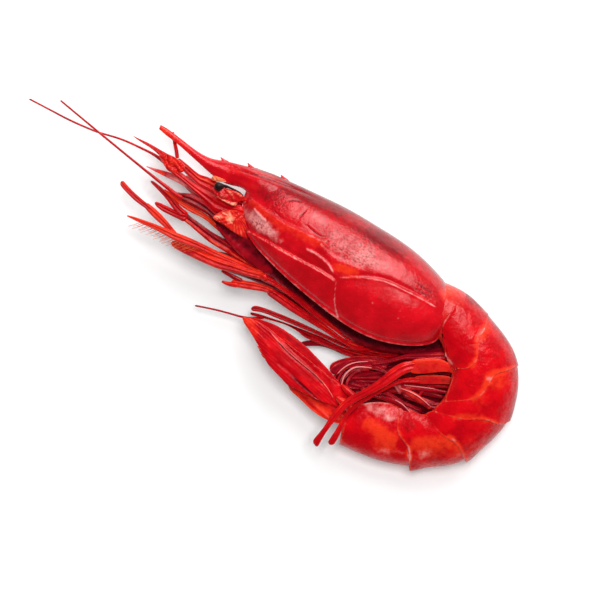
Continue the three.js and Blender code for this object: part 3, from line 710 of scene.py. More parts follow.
def plate_paint(points, turn, run):
    """Tints of a plate: orange at the joints, painted highlights on its rims and in pale patches, painted
    light on the lower faces of the last plates, painted shade along the back, darker blotches and a few pits.
    """
    xy = points[:, :2]
    flank = turn * 2 - 1
    # edge: the rims, orange, and pale as a painted highlight
    edge = bell(1 - np.abs(flank), 0.022) + bell(1 - run, 0.035)
    orange = 0.85 * edge + strokes(
        xy, *((band, 0.6, 1, 1) for band in JOINT_BANDS), (MARGINS[0], 0.45, 0.45, 0.45),
        (TAIL_BAND, 0.6, 1.8, 2.4), (SIDE_BAND, 0.55, 1.6, 1.6), (REAR_BAND, 0.7, 0.7, 0.7),
    )
    # orange patches: the plates' own orange, and on the lower faces of plates 5 and 6, at (32.5, -38.8) and
    # (21.5, -37.4), also painted light from the lit table below
    orange += patches(
        xy, (0.4, 43, -37, 8, 5, 40), (0.4, 33.6, -36.6, 9, 4), (0.3, 20, -34, 10, 4, -30),
        (0.5, 32.5, -38.8, 8, 3), (0.5, 21.5, -37.4, 8, 2.6, -18), (0.6, 49, -20, 6, 5),
        (0.4, 46, -26, 5, 4), (0.5, 46, -9, 3, 5, -25),
    )
    pale = 0.32 * edge + strokes(
        xy, (REAR_BAND, 0.45, 0.4, 0.3), (MARGINS[0][3:], 0.55, 0.35, 0.35),
    )
    # pale patches: painted highlights, as a glossy patch on the last plate and glints by the joints and on
    # the first plate; the two at (32.5, -38.6) and (22, -37.6) are painted light on the lower faces of plates
    # 5 and 6
    pale += patches(
        xy, (0.6, 19.6, -27.6, 7, 3.4, -22), (0.5, 22.6, -29.8, 2.8, 1.6),
        (0.65, 38.6, -34.9, 1.5, 0.7, -20), (0.65, 47, -19.6, 1.6, 1), (0.5, 43.3, -10.5, 1.4, 0.7, -30),
        (0.45, 45.6, -8, 0.6, 2, -25), (0.12, 41, -4.4, 3.6, 1.8, -20), (0.42, 32.5, -38.6, 7, 2.6),
        (0.36, 22, -37.6, 7, 2.2, -18),
    )
    # painted shade along the back's edge, lighter on the last plates, whose backs face the lit table; then
    # darker patches on the back
    dark = 0.7 * bell(flank, 0.21) * (0.2 + 0.8 * ease(-38, -28, xy[:, 1]))
    dark += patches(
        xy, (0.5, 27, -31.4, 4, 3.4), (0.25, 41, -12, 5, 4), (0.3, 43, 0, 5, 3, -42),
        (0.4, 43.6, -5.4, 5, 3.4), (0.36, 49, -12.4, 4, 6),
    )
    pitted = patches(xy, (0.3, 48.5, -21, 4.5, 3), (0.5, 41, -5, 4, 2.5), (0.25, 33, -36, 8, 3))
    return {"orange": orange, "pale": pale, "dark": np.minimum(dark, GLOSSY_DARK), "pitted": pitted}


CURL_CENTRE = np.array((22.0, -20.5))  # what the abdomen curls round


def waves(xy, height, pace, x_share, y_share):
    """Even waves across the drawing, their pace in radians to the millimetre."""
    return height * np.cos(pace * (xy[:, 0] * x_share + xy[:, 1] * y_share))


def flesh_surface(turn, length):
    """The flesh inside the plates, from its neck in the carapace to the last plate."""
    rails = {part: NECK[part] + ABDOMEN[part] for part in NECK}
    tuck = np.array(rails["belly"], float)
    tuck[4:-2] += 0.05 * (CURL_CENTRE - tuck[4:-2])
    points, outward, _, middle = body_ring({**rails, "belly": tuck, "recess": 0.2}, turn, length)
    shut = np.minimum(1, np.minimum(length, 1 - length) / 0.01)[:, None]
    sunk = (0.05 + 0.5 * ease(0.23, 0.3, length)) * (turn > 0)
    inside = middle + (points - outward * sunk[:, None] - middle) * shut
    inside[:, 2] = np.maximum(inside[:, 2], 0.6)
    return inside


def flesh_paint(points, turn, length):
    """Tints of the flesh: streaked and light on the back of its neck, a little darker off the back, and
    painted shade underneath.
    """
    neck = 1 - ease(0.13, 0.22, length)
    back = 1 - ease(0.25, 0.6, np.abs(flank_of(turn)))
    streaks = waves(points, 1, 4.4, 0.55, 0.85) ** 2
    return {
        "orange": 0.25 + 0.5 * neck * back, "pale": 0.4 * neck * back * streaks,
        "dark": np.where(turn > FLANK_SHARE, 0.85, 0.25 * (1 - back)),
    }


# Thinner shell, dented and nearly dry: its red is warmer and its lights are soft and broken.
BODY_SHELL = cooked_shell(
    "glossy cooked body shell", "#bb0210", "#d60612", pale="#ec9c98", dark="#760611", roughness=0.28,
    coat=0.06, crumple=0.8,
)
for index, slot in enumerate(["shell"] * 5 + ["tail_shell"]):
    made = piece(
        f"abdomen_plate_{index + 1}", [f"abdomen_{index + 1}"], slot, BODY_SHELL,
        (140, 50, plate_surface(index), plate_paint),
    )
    wall = made.modifiers.new("shell wall", "SOLIDIFY")
    wall.thickness = SHELL_MM / 1000
    wall.offset = -1
# Firm flesh under wet skin: an orange red with lumpy lights that glows between the plates.
FLESH = cooked_shell(
    "cooked flesh and soft skin", "#bf0e10", "#d8261a", pale="#f7a27c", roughness=0.3, crumple=1.0,
)
piece("abdomen_flesh", [], "tail_shell", FLESH, (90, 120, flesh_surface, flesh_paint))

# Mouthparts: the soft mass of jaws, gills and breast under the carapace, in which the legs root. It is wet
# flesh in folds, painted dark as the shade under the carapace, made as one long breast and a shorter jaw in
# front of it.

# Thin limb shell, nearly dry: its flutes and edges show by painted highlights and shade more than by glints.
LIMB_SHELL = cooked_shell(
    "cooked limb shell", "#b00410", "#d40a14", pale="#f58258", dark="#58040f", roughness=0.3, coat=0.05,
    crumple=0.5,
)
# The same shell with the belly's shade painted in: a darker, bluer red with no film to glint, for parts that
# lie in shade.
UNDER_SHELL = cooked_shell(
    "shade-painted under-limb shell", "#840618", "#b00a1c", pale="#ee8a88", dark="#44040f", roughness=0.3,
    coat=0, crumple=0.6,
)


def limb(name, slot, *parts, around=44, along=80, material=LIMB_SHELL):
    """A piece that stands for the node of its name, of drawn parts, each its surface and its tints."""
    piece(f"{name}_shell", [name], slot, material, *((around, along, *part) for part in parts))


BREAST_TOP = [
    (-13, 17.5), (-11, 14), (-6, 9.5), (-1, 5), (5, -0.2), (11, -4.6), (18, -8), (25, -9.6), (33, -9),
    (38, -8),
]
BREAST_LOW = [
    (-13.5, 15), (-12.5, 10.5), (-8, 6), (-2.5, 1.5), (3, -3), (9, -8), (16, -12), (24, -13.6), (32, -14),
    (38, -13),
]


def breast_folds(xy):
    """Height of the breast's crossing folds."""
    return waves(xy, 0.2, 1.7, 0.75, 0.65) + waves(xy, 0.25, 1.3, 1, -1)


limb(
    "mouthparts", "under_limb",
    (between(BREAST_TOP, BREAST_LOW, [9, 8.6, 8, 7.6], 1.2, relief=breast_folds), tinted(dark=0.5)),
    (between([(-7, 12), (-11, 16.4), (-16, 18.8), (-20, 20.4), (-23, 21.6)],
             [(-6, 4.6), (-11.5, 8.4), (-16, 12), (-19.4, 16), (-22.8, 20.6)],
             [10.4, 10.8, 10.4], 0.5, relief=breast_folds), tinted(dark=0.3)),
    along=160, material=UNDER_SHELL,
)

# Eyes: a black glossy drop-shaped cornea lying on a stalk of soft skin that cooking has shrunk into
# yellowish folds, joined to the head below the beak's root.
STALK_UPPER = [
    (-13.3, 25.3), (-14.2, 26), (-15.2, 26.9), (-16.6, 27.4), (-18.4, 27.9), (-20.4, 28.1), (-21.8, 28.2),
]
STALK_LOWER = [
    (-13.2, 24.8), (-14.4, 24.8), (-15.3, 24.5), (-15.9, 23.6), (-16.7, 23.3), (-18, 24), (-19.6, 24.9),
    (-21.2, 26.1), (-21.9, 27),
]
STALK_FOLDS = [
    [(-21.1, 26.1), (-19.8, 24.9), (-18.2, 24.4), (-16.5, 23.8), (-15.8, 24.2)],
    [(-18.9, 27.5), (-17.9, 27.3), (-17.1, 26.4), (-16.5, 25.4), (-16, 24.4)],
    [(-17.4, 27.4), (-16.1, 26.9), (-14.9, 26.2), (-14, 25.3)],
    [(-20.2, 26.6), (-19, 25.8), (-17.9, 25.5)],
]
CORNEA_DROP = [
    (-21.4, 28.1, 0.2, 0.85), (-20.3, 28.25, 0.4, 1.25), (-19.1, 28.45, 0, 0.45), (-18, 28.3, -0.3, 0.22),
    (-16.6, 27.65, -0.8, 0.16), (-15.2, 27, -1.5, 0.13), (-14.2, 26.1, -2, 0.1),
]
# Skin shrunk by boiling: deep dents break its lights, and its thin crests are painted cream as highlights.
SOFT_SKIN = cooked_shell(
    "shrunken soft head skin", "#bc0c14", "#dc2420", pale="#f7a07e", dark="#86060f", roughness=0.28,
    crumple=1.2,
)
# Cooked black eye: so dark that only a soft sheen shows its form.
CORNEA_BLACK = cooked_shell(
    "black glossy cornea", "#0e0607", "#1c0d0d", pale="#3a2422", roughness=0.42, coat=0, crumple=0.4,
)
EYE_OUT = 5.2  # from the head's middle plane to an eye


def crumpled(xy, along, size):
    """Folds of shrunken skin, 0 in a crease and 1 on a crest, that run along an angle and wander."""
    c, s = np.cos(np.radians(along)), np.sin(np.radians(along))
    u = (xy[:, 0] * c + xy[:, 1] * s) / size
    v = (xy[:, 1] * c - xy[:, 0] * s) / size
    wander = (
        0.35 * np.sin(0.9 * u + 1.3) + 0.25 * np.sin(2.3 * u + 1.1 * v) + 0.2 * np.sin(3.1 * v + 0.7 * u)
    )
    return np.abs(np.sin(np.pi * (v + wander))) ** 0.8


def stalk_folds(xy):
    """Height of the stalk's drawn folds and of the fine ones over them."""
    drawn = strokes(xy, *((fold, 0.45, 0.3, 0.5, 0.15) for fold in STALK_FOLDS))
    return drawn + 0.12 * crumpled(xy, -32, 1.1)


def stalk_paint(points, turn, length):
    """Tints of the stalk: cream painted highlights on its crests and lower fold, and painted shade in its
    creases.
    """
    xy = points[:, :2]
    fine = crumpled(xy, 25, 0.7)
    crest = strokes(xy, *((fold, 0.6, 0.4, 0.6, 0.2, 0.5) for fold in STALK_FOLDS))
    cream = stroke(xy, STALK_FOLDS[0], 0.5, 0.4, 0.4) + 0.6 * patch(xy, -16.1, 24, 1.3, 1)
    return {
        "orange": 0.1 + 0.2 * crest, "pale": 0.08 + (crest + cream) * (0.3 + 0.6 * fine),
        "dark": 0.3 * (1 - ease(0, 0.5, crest + cream)),
    }


for side, name in ((1, "eye_left"), (-1, "eye_right")):
    far = MID + side * EYE_OUT
    rising = [far - side * 2.6, far - side * 0.6, far]
    stalk = between(STALK_UPPER, STALK_LOWER, rising, 0.35, relief=stalk_folds)
    piece(f"{name}_stalk", [name], "eye", SOFT_SKIN, (110, 100, stalk, stalk_paint))
    drop = tube([(x, y, far + side * rise, half) for x, y, rise, half in CORNEA_DROP], 0.85)
    piece(f"{name}_cornea", [], "eye", CORNEA_BLACK, (32, 50, drop))

# First feelers: a stalk of thin-shelled joints that leaves the head beside the eye, crumpled at its end
# by cooking, where it carries short pointed lashes.


def joint_folds(xy):
    """Height of the crumpled skin at a feeler's joints."""
    return 0.4 * crumpled(xy, -42, 1.3) + 0.25 * crumpled(xy, 30, 0.8)


def joint_paint(points, turn, length):
    """Tints of that skin: orange crests with pale painted highlights, and painted shade in its creases."""
    xy = points[:, :2]
    crest = crumpled(xy, -42, 1.3)
    return {
        "orange": 0.2 + 0.3 * crest, "pale": 0.35 * ease(0.7, 1, crest) * crumpled(xy, 30, 0.8),
        "dark": 0.4 * (1 - ease(0, 0.3, crest)),
    }


limb(
    "antennule_left", "limb",
    (between(
        [(-13.5, 23.6), (-16.4, 23.8), (-19.3, 25.1), (-22, 26.6), (-25, 28.2), (-27.5, 29.9),
         (-30.5, 32.25), (-32, 33.5)],
        [(-13.5, 19.6), (-17, 20.8), (-20.5, 21.75), (-22, 22.75), (-24.5, 25.25), (-27, 27.5),
         (-29.5, 29.75), (-33, 32.4)],
        [12.2, 12.4, 12.6, 12.6], 0.45, 0.35), tinted(tip=0.3, edge=0.3, core=0.15)),
    (between([(-28.4, 33.2), (-30.4, 35.2), (-32.4, 36.2), (-34.2, 37)],
             [(-29.4, 31.4), (-31.4, 33.4), (-33.2, 34.8), (-34.6, 36.2)],
             [12.6, 12.9, 12.7], 0.5, relief=joint_folds), joint_paint),
    (between([(-29.6, 32.8), (-31.4, 34), (-33, 35.2), (-35.2, 37)],
             [(-30.2, 31.6), (-32.2, 31.9), (-33.6, 33), (-35.4, 36.4)],
             [12.2, 12.5, 12.4], 0.5, relief=joint_folds), joint_paint),
    (between(
        [(-32.5, 36.25), (-35, 37.6), (-37.5, 39.1), (-40, 40.25), (-41.75, 41.1)],
        [(-34, 35), (-35.5, 36.4), (-37.5, 38.1), (-40, 39.6), (-41.6, 40.85)],
        [12.6, 12.5, 12.3], 0.8, 0.2), tinted(orange=0.3, tip=0.2)),
    along=100,
)
limb(
    "antennule_right", "limb",
    (between(
        [(-13.5, 24.5), (-17, 26.6), (-20.5, 29.5), (-23.5, 31), (-25.25, 31.5), (-27.5, 33.4), (-29.5, 35),
         (-30.75, 36)],
        [(-14, 22), (-18, 23.6), (-21, 26), (-23.75, 27.5), (-25.5, 28.6), (-26.75, 30), (-28.5, 31.5),
         (-30.5, 33.75)],
        [8, 8.6, 8.8, 9], 0.5, 0.45), tinted(pale=0.12, edge=0.45)),
    (between([(-22.3, 30.5), (-21.6, 31.2), (-20.4, 30.8), (-18.4, 29.9)],
             [(-21.8, 29.8), (-21.1, 29.7), (-20, 29.6), (-18.4, 29.4)],
             [10.4, 11, 11.4], 0.5, relief=joint_folds), tinted(orange=0.3, pale=0.95, edge=0.2, core=0.3)),
    (between(
        [(-31.25, 35.5), (-31.5, 37.5), (-32, 40), (-32.25, 42.1)],
        [(-30.25, 35.5), (-30.5, 37.5), (-30.9, 39.25), (-31.6, 42.3)],
        [8.6, 8.4, 8], 0.9), tinted(orange=0.2)),
)

# Antennal scales: one thin stiff blade beside the root of each second feeler, clear when raw and
# clouded by cooking. Each is a flat leaf with low flutes, rooted in the head.
SCALE_UPPER = [
    (-17.5, 22), (-21, 24.4), (-25, 27), (-27.5, 29), (-30, 30.75), (-32.5, 31.9), (-35, 32.6),
    (-38.5, 33.55),
]
SCALE_LOWER = [
    (-18, 20.5), (-21.5, 23), (-25, 26), (-27.5, 27.5), (-30, 29.1), (-32, 30.1), (-36.25, 32.2),
    (-38.5, 33.4),
]


def scale_paint(points, turn, length):
    """Pale all over, with an orange stain near the tip."""
    stain = patch(points[:, :2], -35.2, 31.6, 2.4, 1.6)
    return {"pale": 0.55 - stain, "orange": 1.2 * stain}


# Clear shell clouded by cooking: a milky pink with a soft wet sheen.
SCALE_BLADE = cooked_shell("clear pink feeler scale", "#b81c28", "#d03a42", pale="#e98c88", roughness=0.3)
for name, height in (("antennal_scale_left", 10.6), ("antennal_scale_right", 4.6)):
    leaf = between(SCALE_UPPER, SCALE_LOWER, [height + 0.4, height, height], 0.16, 0.8)
    piece(f"{name}_blade", [name], "scale", SCALE_BLADE, (28, 70, leaf, scale_paint))

# Second feelers: a stout dark base with an orange edge and a frilled lobe of soft skin at its root. From
# the base a long ringed whip of hard shell runs out past the beak.
LOBE_TOP = [
    (-12.4, 15.9), (-13.2, 18.4), (-13.9, 20.7), (-15.2, 22.2), (-17.2, 22.6), (-18.6, 22.4),
    (-20.2, 21.9), (-21.6, 20.9),
]
LOBE_BOTTOM = [
    (-12.6, 15.5), (-14.2, 15.6), (-15.6, 16.4), (-17.2, 17.3), (-18.8, 18.5), (-20.2, 19.4), (-21.3, 20),
    (-21.9, 20.5),
]


LOBE_ROOT = np.array((-16.4, 21.8))  # from which the frill's ribs spread


def lobe_ribbed(xy):
    """How far a place is ribbed, from 0 in the lobe's root and tip to 1 in its frill."""
    off = xy - LOBE_ROOT
    return ease(1.4, 3, np.hypot(off[:, 0], off[:, 1])) * ease(-18.5, -16.5, xy[:, 0])


def lobe_rib(xy):
    """Ribs that spread from the lobe's root, 0 in a crease and 1 on a crest."""
    off = xy - LOBE_ROOT
    angle = np.arctan2(off[:, 1], off[:, 0])
    return np.abs(np.sin(np.pi * (angle / 0.17 + 0.25 * np.sin(0.9 * xy[:, 0])))) ** 0.7


def lobe_folds(xy):
    """Height of the frill's ribs and of the crumpled skin round it."""
    ribbed = lobe_ribbed(xy)
    skin = 0.4 * crumpled(xy, 35, 1.6) + 0.25 * crumpled(xy, -40, 0.9)
    return 0.25 * ribbed * lobe_rib(xy) + (1 - ribbed) * skin


def lobe_paint(points, turn, length):
    """Tints of the lobe: cream painted highlights in patches and on its ribs, and painted shade in its
    creases.
    """
    xy = points[:, :2]
    ribbed = lobe_ribbed(xy)
    crest = ribbed * lobe_rib(xy) + (1 - ribbed) * crumpled(xy, 35, 1.6)
    cream = patches(xy, (1, -17.4, 20.3, 1.9, 2.2), (0.8, -20.4, 20.7, 1.9, 1.1), (0.6, -18.6, 21.7, 2, 1))
    return {
        "orange": 0.2 + 0.35 * crest,
        "pale": cream * (0.45 + 0.45 * crumpled(xy, -40, 0.9)) + 0.3 * crest * ribbed,
        "dark": 0.5 * (1 - ease(0, 0.35, crest)) * (0.3 + 0.7 * ribbed),
    }


lobe = between(LOBE_TOP, LOBE_BOTTOM, [12.7, 13.1, 13.7, 13.8], 0.16, relief=lobe_folds)
piece("antenna_left_lobe", [], "limb", SOFT_SKIN, (130, 130, lobe, lobe_paint))
limb(
    "antenna_left", "limb",
    (between(
        [(-14, 20.5), (-18, 21), (-20.75, 21.75), (-22.75, 23.75), (-25, 25.5), (-27.5, 26.6),
         (-29.5, 26.75), (-31, 27)],
        [(-15, 17), (-19, 18.5), (-21.75, 20.25), (-23.75, 21.75), (-26.25, 23), (-28.5, 24.25), (-30, 25),
         (-31.5, 26)],
        [11.6, 12.8, 13.3], 0.5, 0.5), tinted(dark=0.62, core=0.2, edge=0.4)),
    (between(
        [(-18.6, 16.6), (-21.2, 19.4), (-23.75, 21.7), (-27, 23.4), (-30, 25.2), (-32.5, 26.9),
         (-33.75, 27.75)],
        [(-19, 16), (-22, 18.6), (-24.25, 20.5), (-27.5, 22), (-30.5, 24.1), (-33, 26.4), (-34, 27.5)],
        [10.4, 12.6, 13, 13], 0.6, 0.4), tinted(orange=0.7, pale=0.15, edge=0.3, root=0.6)),
    (tube([(-29.25, 25.3, 13.4, 0.7), (-31.25, 26.5, 13.3, 0.6), (-33, 28, 13.2, 0.5),
           (-35, 29.5, 13, 0.42), (-37.5, 31.5, 12.8, 0.36), (-40, 33.5, 12.5, 0.32),
           (-50.75, 42.3, 11.2, 0.28), (-60, 50, 9.6, 0.24)]),
     tinted(dark=0.2)),
)
limb(
    "antenna_right", "limb",
    (tube([(-13.5, 18.6, 5.6, 1.8), (-19, 22, 2.9, 1.8), (-24, 26, 2.4, 1.75), (-28.5, 30, 2.4, 1.5),
           (-29.6, 31, 2.5, 0.8)]),
     tinted(dark=0.3)),
    (tube([(-28.9, 30.4, 2.5, 0.8), (-34.6, 35.1, 3.6, 0.5), (-37.5, 37, 4.4, 0.36), (-40, 38.2, 5, 0.3),
           (-45, 40.5, 5.6, 0.28), (-50, 41.9, 6, 0.26), (-53.3, 43.2, 6.2, 0.26), (-58.1, 45.3, 6.4, 0.26),
           (-62.8, 47.8, 6.4, 0.24), (-68, 50.5, 6.2, 0.22)]), tinted(dark=0.15)),
)

# Third maxillipeds: leg-like mouth limbs carried in front of the walking legs, of the same thin shell
# and rooted beside the jaws. Fine hairs fringe the lower edge of the left one, which lies on top.
MAXILLIPED_UPPER = [
    (2.5, 8.5), (-4, 8.6), (-9.5, 7.6), (-12.5, 8.5), (-16.25, 10.25), (-21.25, 12.5), (-26.25, 15),
    (-31.25, 17), (-36.25, 19), (-41.25, 20.75), (-43.25, 21.2),
]
MAXILLIPED_LOWER = [
    (2.5, 6.5), (-4, 6.6), (-10, 6), (-13.75, 7.75), (-17.5, 9.25), (-21.25, 10.75), (-26.25, 13),
    (-31.25, 14.75), (-35, 17), (-40, 19.25), (-43.25, 20.9),
]
limb(
    "maxilliped_left", "limb",
    (between(MAXILLIPED_UPPER, MAXILLIPED_LOWER, [8.6, 14, 14.6, 14.3, 13.6, 13], 0.65, 0.45),
     tinted(orange=0.4, tip=0.5, edge=0.45)),
)
hairs = []
for number, (x, y) in enumerate(evenly(MAXILLIPED_LOWER, np.linspace(0.6, 0.92, 36))):
    reach = 1 + 0.45 * np.sin(2.4 * number)
    hair = [(x, y + 0.3, 13.8, 0.07), (x - 1.1 * reach, y - 0.3, 13.5, 0.05),
            (x - 2.4 * reach, y - 0.55 * reach, 13, 0.03)]
    hairs.append((6, 10, tube(hair), tinted(orange=0.9, pale=0.55, core=0)))
piece("maxilliped_left_hairs", [], "limb", LIMB_SHELL, *hairs)
limb(
    "maxilliped_right", "under_limb",
    (tube([(2.5, 8.5, 7, 1.5), (-4, 9.4, 6, 1.4), (-9.5, 9.8, 5.4, 1.3), (-13, 10.4, 5, 1),
           (-15.5, 10.8, 4.8, 0.3)]), tinted(dark=0.2)),
    material=UNDER_SHELL,
)

# Walking legs: five on each side, jointed flattened tubes of thin shell that root in the breast. The left
# ones lie on top and show their flutes, some with small pincers, and little shows of the right ones.


def first_leg_paint(points, turn, length):
    """Tints of the first leg: painted shade along one edge and near its root, and an orange and pale painted
    highlight as a stripe near the other.
    """
    across = across_limb(turn)
    stripe = bell(across + 0.5, 0.2) * (turn < 0.5)
    return {
        "dark": 0.62 * ease(-0.35, 0, across) + 0.3 * (1 - ease(0, 0.4, length)),
        "orange": 0.6 * stripe, "pale": 0.5 * stripe,
    }


limb(
    "leg_left_1", "limb",
    (between(
        [(4, 5), (-3, 7.2), (-9.5, 9.6), (-15, 12.9), (-19, 15.4), (-22, 17), (-25, 19.2), (-27.5, 21),
         (-29, 22.5), (-30.5, 23.5)],
        [(3, 3), (-4, 5.5), (-11.25, 7.5), (-16.25, 10.5), (-19.5, 12.5), (-22, 14), (-24, 15.5), (-28, 19),
         (-30, 20.5), (-31.5, 22.25)],
        [8, 10.8, 11.2, 11.3, 11.4], 0.4, 0.6), first_leg_paint),
    (between(
        [(-27.5, 21.5), (-30, 23.5), (-31.25, 25.25), (-33, 26.75), (-35, 28.5), (-36.75, 29.75),
         (-37.25, 29.85)],
        [(-29.5, 20.5), (-31.25, 22.25), (-32.25, 23.5), (-33.5, 25.25), (-35.5, 27.5), (-37, 29),
         (-37.4, 29.6)],
        [11.6, 11.8, 12], 0.6, 0.45), tinted(dark=0.25, edge=0.35)),
    (between(
        [(-28, 22), (-30.75, 22.25), (-32, 22.9), (-33.75, 23.75), (-35.5, 24.5), (-36.25, 24.6)],
        [(-28.5, 19.2), (-30.5, 20.25), (-32.5, 21.25), (-34.5, 22.25), (-35.75, 23.25), (-36.4, 24)],
        [11.4, 11.2, 11.2], 0.6, 0.45), tinted(dark=0.15, edge=0.35)),
)
limb(
    "leg_left_2", "limb",
    (tube([(10, 0, 8, 1.5), (2, 1.8, 9.2, 1.3), (-6, 5.2, 9.2, 1.1), (-14, 8.6, 9.4, 1),
           (-22, 11.6, 9.8, 1), (-27, 13.4, 10, 1.2), (-29, 14.6, 10.1, 1)]), tinted(dark=0.35)),
    (between(
        [(-27.5, 14.25), (-30, 16), (-31.75, 18), (-33.75, 20.4), (-35.75, 22.4), (-37.5, 23.9),
         (-38.5, 24.5)],
        [(-28.75, 13.2), (-32, 15.6), (-33.75, 18), (-35.75, 19.75), (-37.5, 21.5), (-38.75, 22.9),
         (-39.25, 23.5)],
        [10.2, 10.8, 11.4], 0.6, 0.5), tinted(orange=0.6, edge=0.45)),
    (between(
        [(-37, 23.2), (-39.25, 25), (-41.25, 26.75), (-43, 28.5), (-44, 29.7), (-44.6, 29.9)],
        [(-38, 22.4), (-39.5, 23.5), (-41.25, 24.75), (-43.25, 26.75), (-44.75, 28.4), (-45, 29.25)],
        [11.4, 11.8, 12.2], 0.75, 0.35), tinted(orange=0.1, tip=0.3, edge=0.35)),
)
limb(
    "leg_left_3", "limb",
    (between(
        [(19, -6.5), (14, -9.3), (11.25, -8.25), (8.75, -6.5), (6.25, -4.5), (3.75, -2.5), (1.25, -0.25),
         (-1.5, 1.75), (-4.25, 3.5), (-7, 5.4), (-9.7, 7)],
        [(18, -9), (14, -11), (11.25, -9.6), (8.75, -7.8), (6.25, -6), (3.75, -4.25), (1.25, -2.25),
         (-1.5, 0), (-4.25, 2), (-7, 3.75), (-10, 5)],
        [8.6, 12.4, 12.9, 12.7, 12.5], 0.6, 0.55), tinted(edge=0.45, root=0.6)),
    (between(
        [(-8.6, 6.8), (-12.5, 7.6), (-16.25, 9), (-19.5, 10.1), (-22.5, 11.25), (-25, 12.5), (-27.5, 13.5),
         (-30, 14.5), (-32, 15)],
        [(-8.8, 4.9), (-12.5, 5.75), (-15, 6.5), (-18, 7.25), (-20, 7.6), (-23.75, 9.1), (-28.75, 11.5),
         (-31.25, 12.9), (-32.4, 13.9)],
        [12.6, 12.3, 12.1, 12], 0.55, 0.55), tinted(orange=0.35, tip=0.2, edge=0.45)),
    (tube([(-8.2, 5, 12.9, 1), (-9.6, 6.4, 12.9, 1.05)]), tinted(orange=0.4, pale=0.2)),
)
limb(
    "leg_left_4", "limb",
    (between(
        [(23, -9), (16.5, -11.4), (11.25, -9.7), (8.75, -7.9), (5, -5.2), (1.25, -2.7), (-2.5, 0),
         (-5, 1.75), (-7.8, 3.4)],
        [(22, -11), (16, -13), (12.5, -11.8), (8.75, -9.7), (6.25, -8), (1.25, -5), (-1.25, -3.5),
         (-3.75, -1.9), (-8.6, 1.6)],
        [8, 10.7, 11, 11.3, 11.4], 0.6, 0.5), tinted(edge=0.45, root=0.6)),
    (between(
        [(-6.8, 3), (-10.5, 4.3), (-13.75, 4.9), (-17, 5.3)],
        [(-7.2, 1.4), (-9.25, 2.1), (-12, 2.5), (-15, 3), (-17.5, 3.6)],
        [11.5, 11.3, 11.1], 0.5, 0.5), tinted(orange=0.4, edge=0.45)),
    (tube([(-14.4, 4.5, 11.2, 0.7), (-16.2, 5.5, 11.2, 0.62), (-18, 6.5, 11.2, 0.5),
           (-19.7, 7.3, 11.2, 0.3)]), tinted(dark=0.5)),
    (tube([(-15.5, 3.8, 11.1, 0.8), (-17.8, 4, 11.1, 0.55), (-19.6, 4.7, 11, 0.3)]), tinted(orange=0.4)),
    (tube([(-6.8, 2, 11.6, 0.9), (-8, 2.7, 11.6, 0.9)]), tinted(orange=0.4, pale=0.3)),
)
# painted darker than the legs above it, as the shade it lies in
limb(
    "leg_left_5", "limb",
    (between(
        [(29, -9), (25, -13), (17.5, -12.4), (11.25, -10.8), (6.25, -8.5), (3, -7), (0, -5.6), (-3.75, -4),
         (-7.5, -2.5), (-10.5, -1.5), (-11.9, -1.5)],
        [(28, -11), (24, -14.6), (17.5, -13.75), (11.25, -12), (5, -9), (1.25, -7.5), (-2.5, -5.9),
         (-6.25, -4.4), (-9.5, -3.1), (-11.9, -2.8), (-12.4, -2.3)],
        [7.4, 8.6, 8.6, 8.6, 8.5], 0.6, 0.5), tinted(dark=0.3, edge=0.4)),
)
RIGHT_LEGS = [
    [(6, 4, 7.6, 1.4), (-2, 5, 5.6, 1.3), (-10, 8, 4.4, 1.1), (-16, 10, 3.6, 1), (-19.5, 11.2, 3.2, 0.9),
     (-22, 12, 3, 0.3)],
    [(10, 0, 7.4, 1.4), (2, 0.6, 5, 1.3), (-6, 3.6, 3.6, 1.1), (-14, 6.8, 2.8, 1), (-20, 9, 2.4, 1.2),
     (-25, 11, 2.2, 0.9), (-29, 12.4, 2, 0.3)],
    [(19, -5.5, 8, 1.4), (13, -7.6, 5.6, 1.3), (6, -4.6, 4.4, 1.2), (-2, 0, 3.6, 1.1), (-7, 2.4, 3, 0.9),
     (-9.5, 3.2, 2.8, 0.3)],
    [(23, -8, 8, 1.4), (17, -12.4, 6, 1.2), (12.5, -13.4, 5, 0.9), (8.75, -11.9, 4.4, 0.75),
     (5, -10.9, 4, 0.7), (2, -10.9, 3.8, 0.75), (-0.2, -11.1, 3.6, 0.3)],
]
for index, line in enumerate(RIGHT_LEGS):
    part = (tube(line), tinted(dark=0.15, edge=0.3))
    limb(f"leg_right_{index + 1}", "under_limb", part, material=UNDER_SHELL)
limb(
    "leg_right_5", "under_limb",
    (between(
        [(28, -10), (20, -13.5), (11.25, -12), (6.25, -9.6), (2.5, -8.1), (-1, -6.75), (-4, -5.6),
         (-7, -4.6), (-10, -3.6), (-12.5, -3)],
        [(27, -12.5), (20, -16), (12, -14), (8.75, -12.5), (5.5, -11.25), (2.5, -10), (0.75, -9.1),
         (-1, -7.6), (-4, -6.1), (-7, -5.25), (-10, -4.4), (-12.5, -3.75)],
        [7, 5.4, 5.2, 5.4, 5.6], 0.5, 0.5), tinted(dark=0.25, edge=0.5)),
    (tube([(-9, -4.4, 5.4, 0.4), (-12, -4.6, 5.4, 0.35), (-14.75, -4.2, 5.3, 0.28),
           (-18.3, -3.2, 5.2, 0.25), (-21.9, -2.3, 5.1, 0.24), (-26.4, -1.4, 5, 0.22)]), tinted(dark=0.35)),
)

# Swimmerets: five pairs of paddles hung from the belly, each a stout soft base and a long leaf-like blade of
# thin shell. Limp strands and coiled fringes lie between them, over a sheet painted dark as the shade in
# their gaps.
RIB_CENTRE = (17, -25)  # what the first blade's ribs arch round


def arched_ribs(xy):
    """Height of the ribs that arch over the first blade."""
    return 0.3 * np.cos(9.0 * np.hypot(xy[:, 0] - RIB_CENTRE[0], xy[:, 1] - RIB_CENTRE[1]))


def limp_ribs(xy):
    """Height of the ribs along the fourth blade's limp web."""
    return waves(xy, 0.35, 7, 0.25, 1)


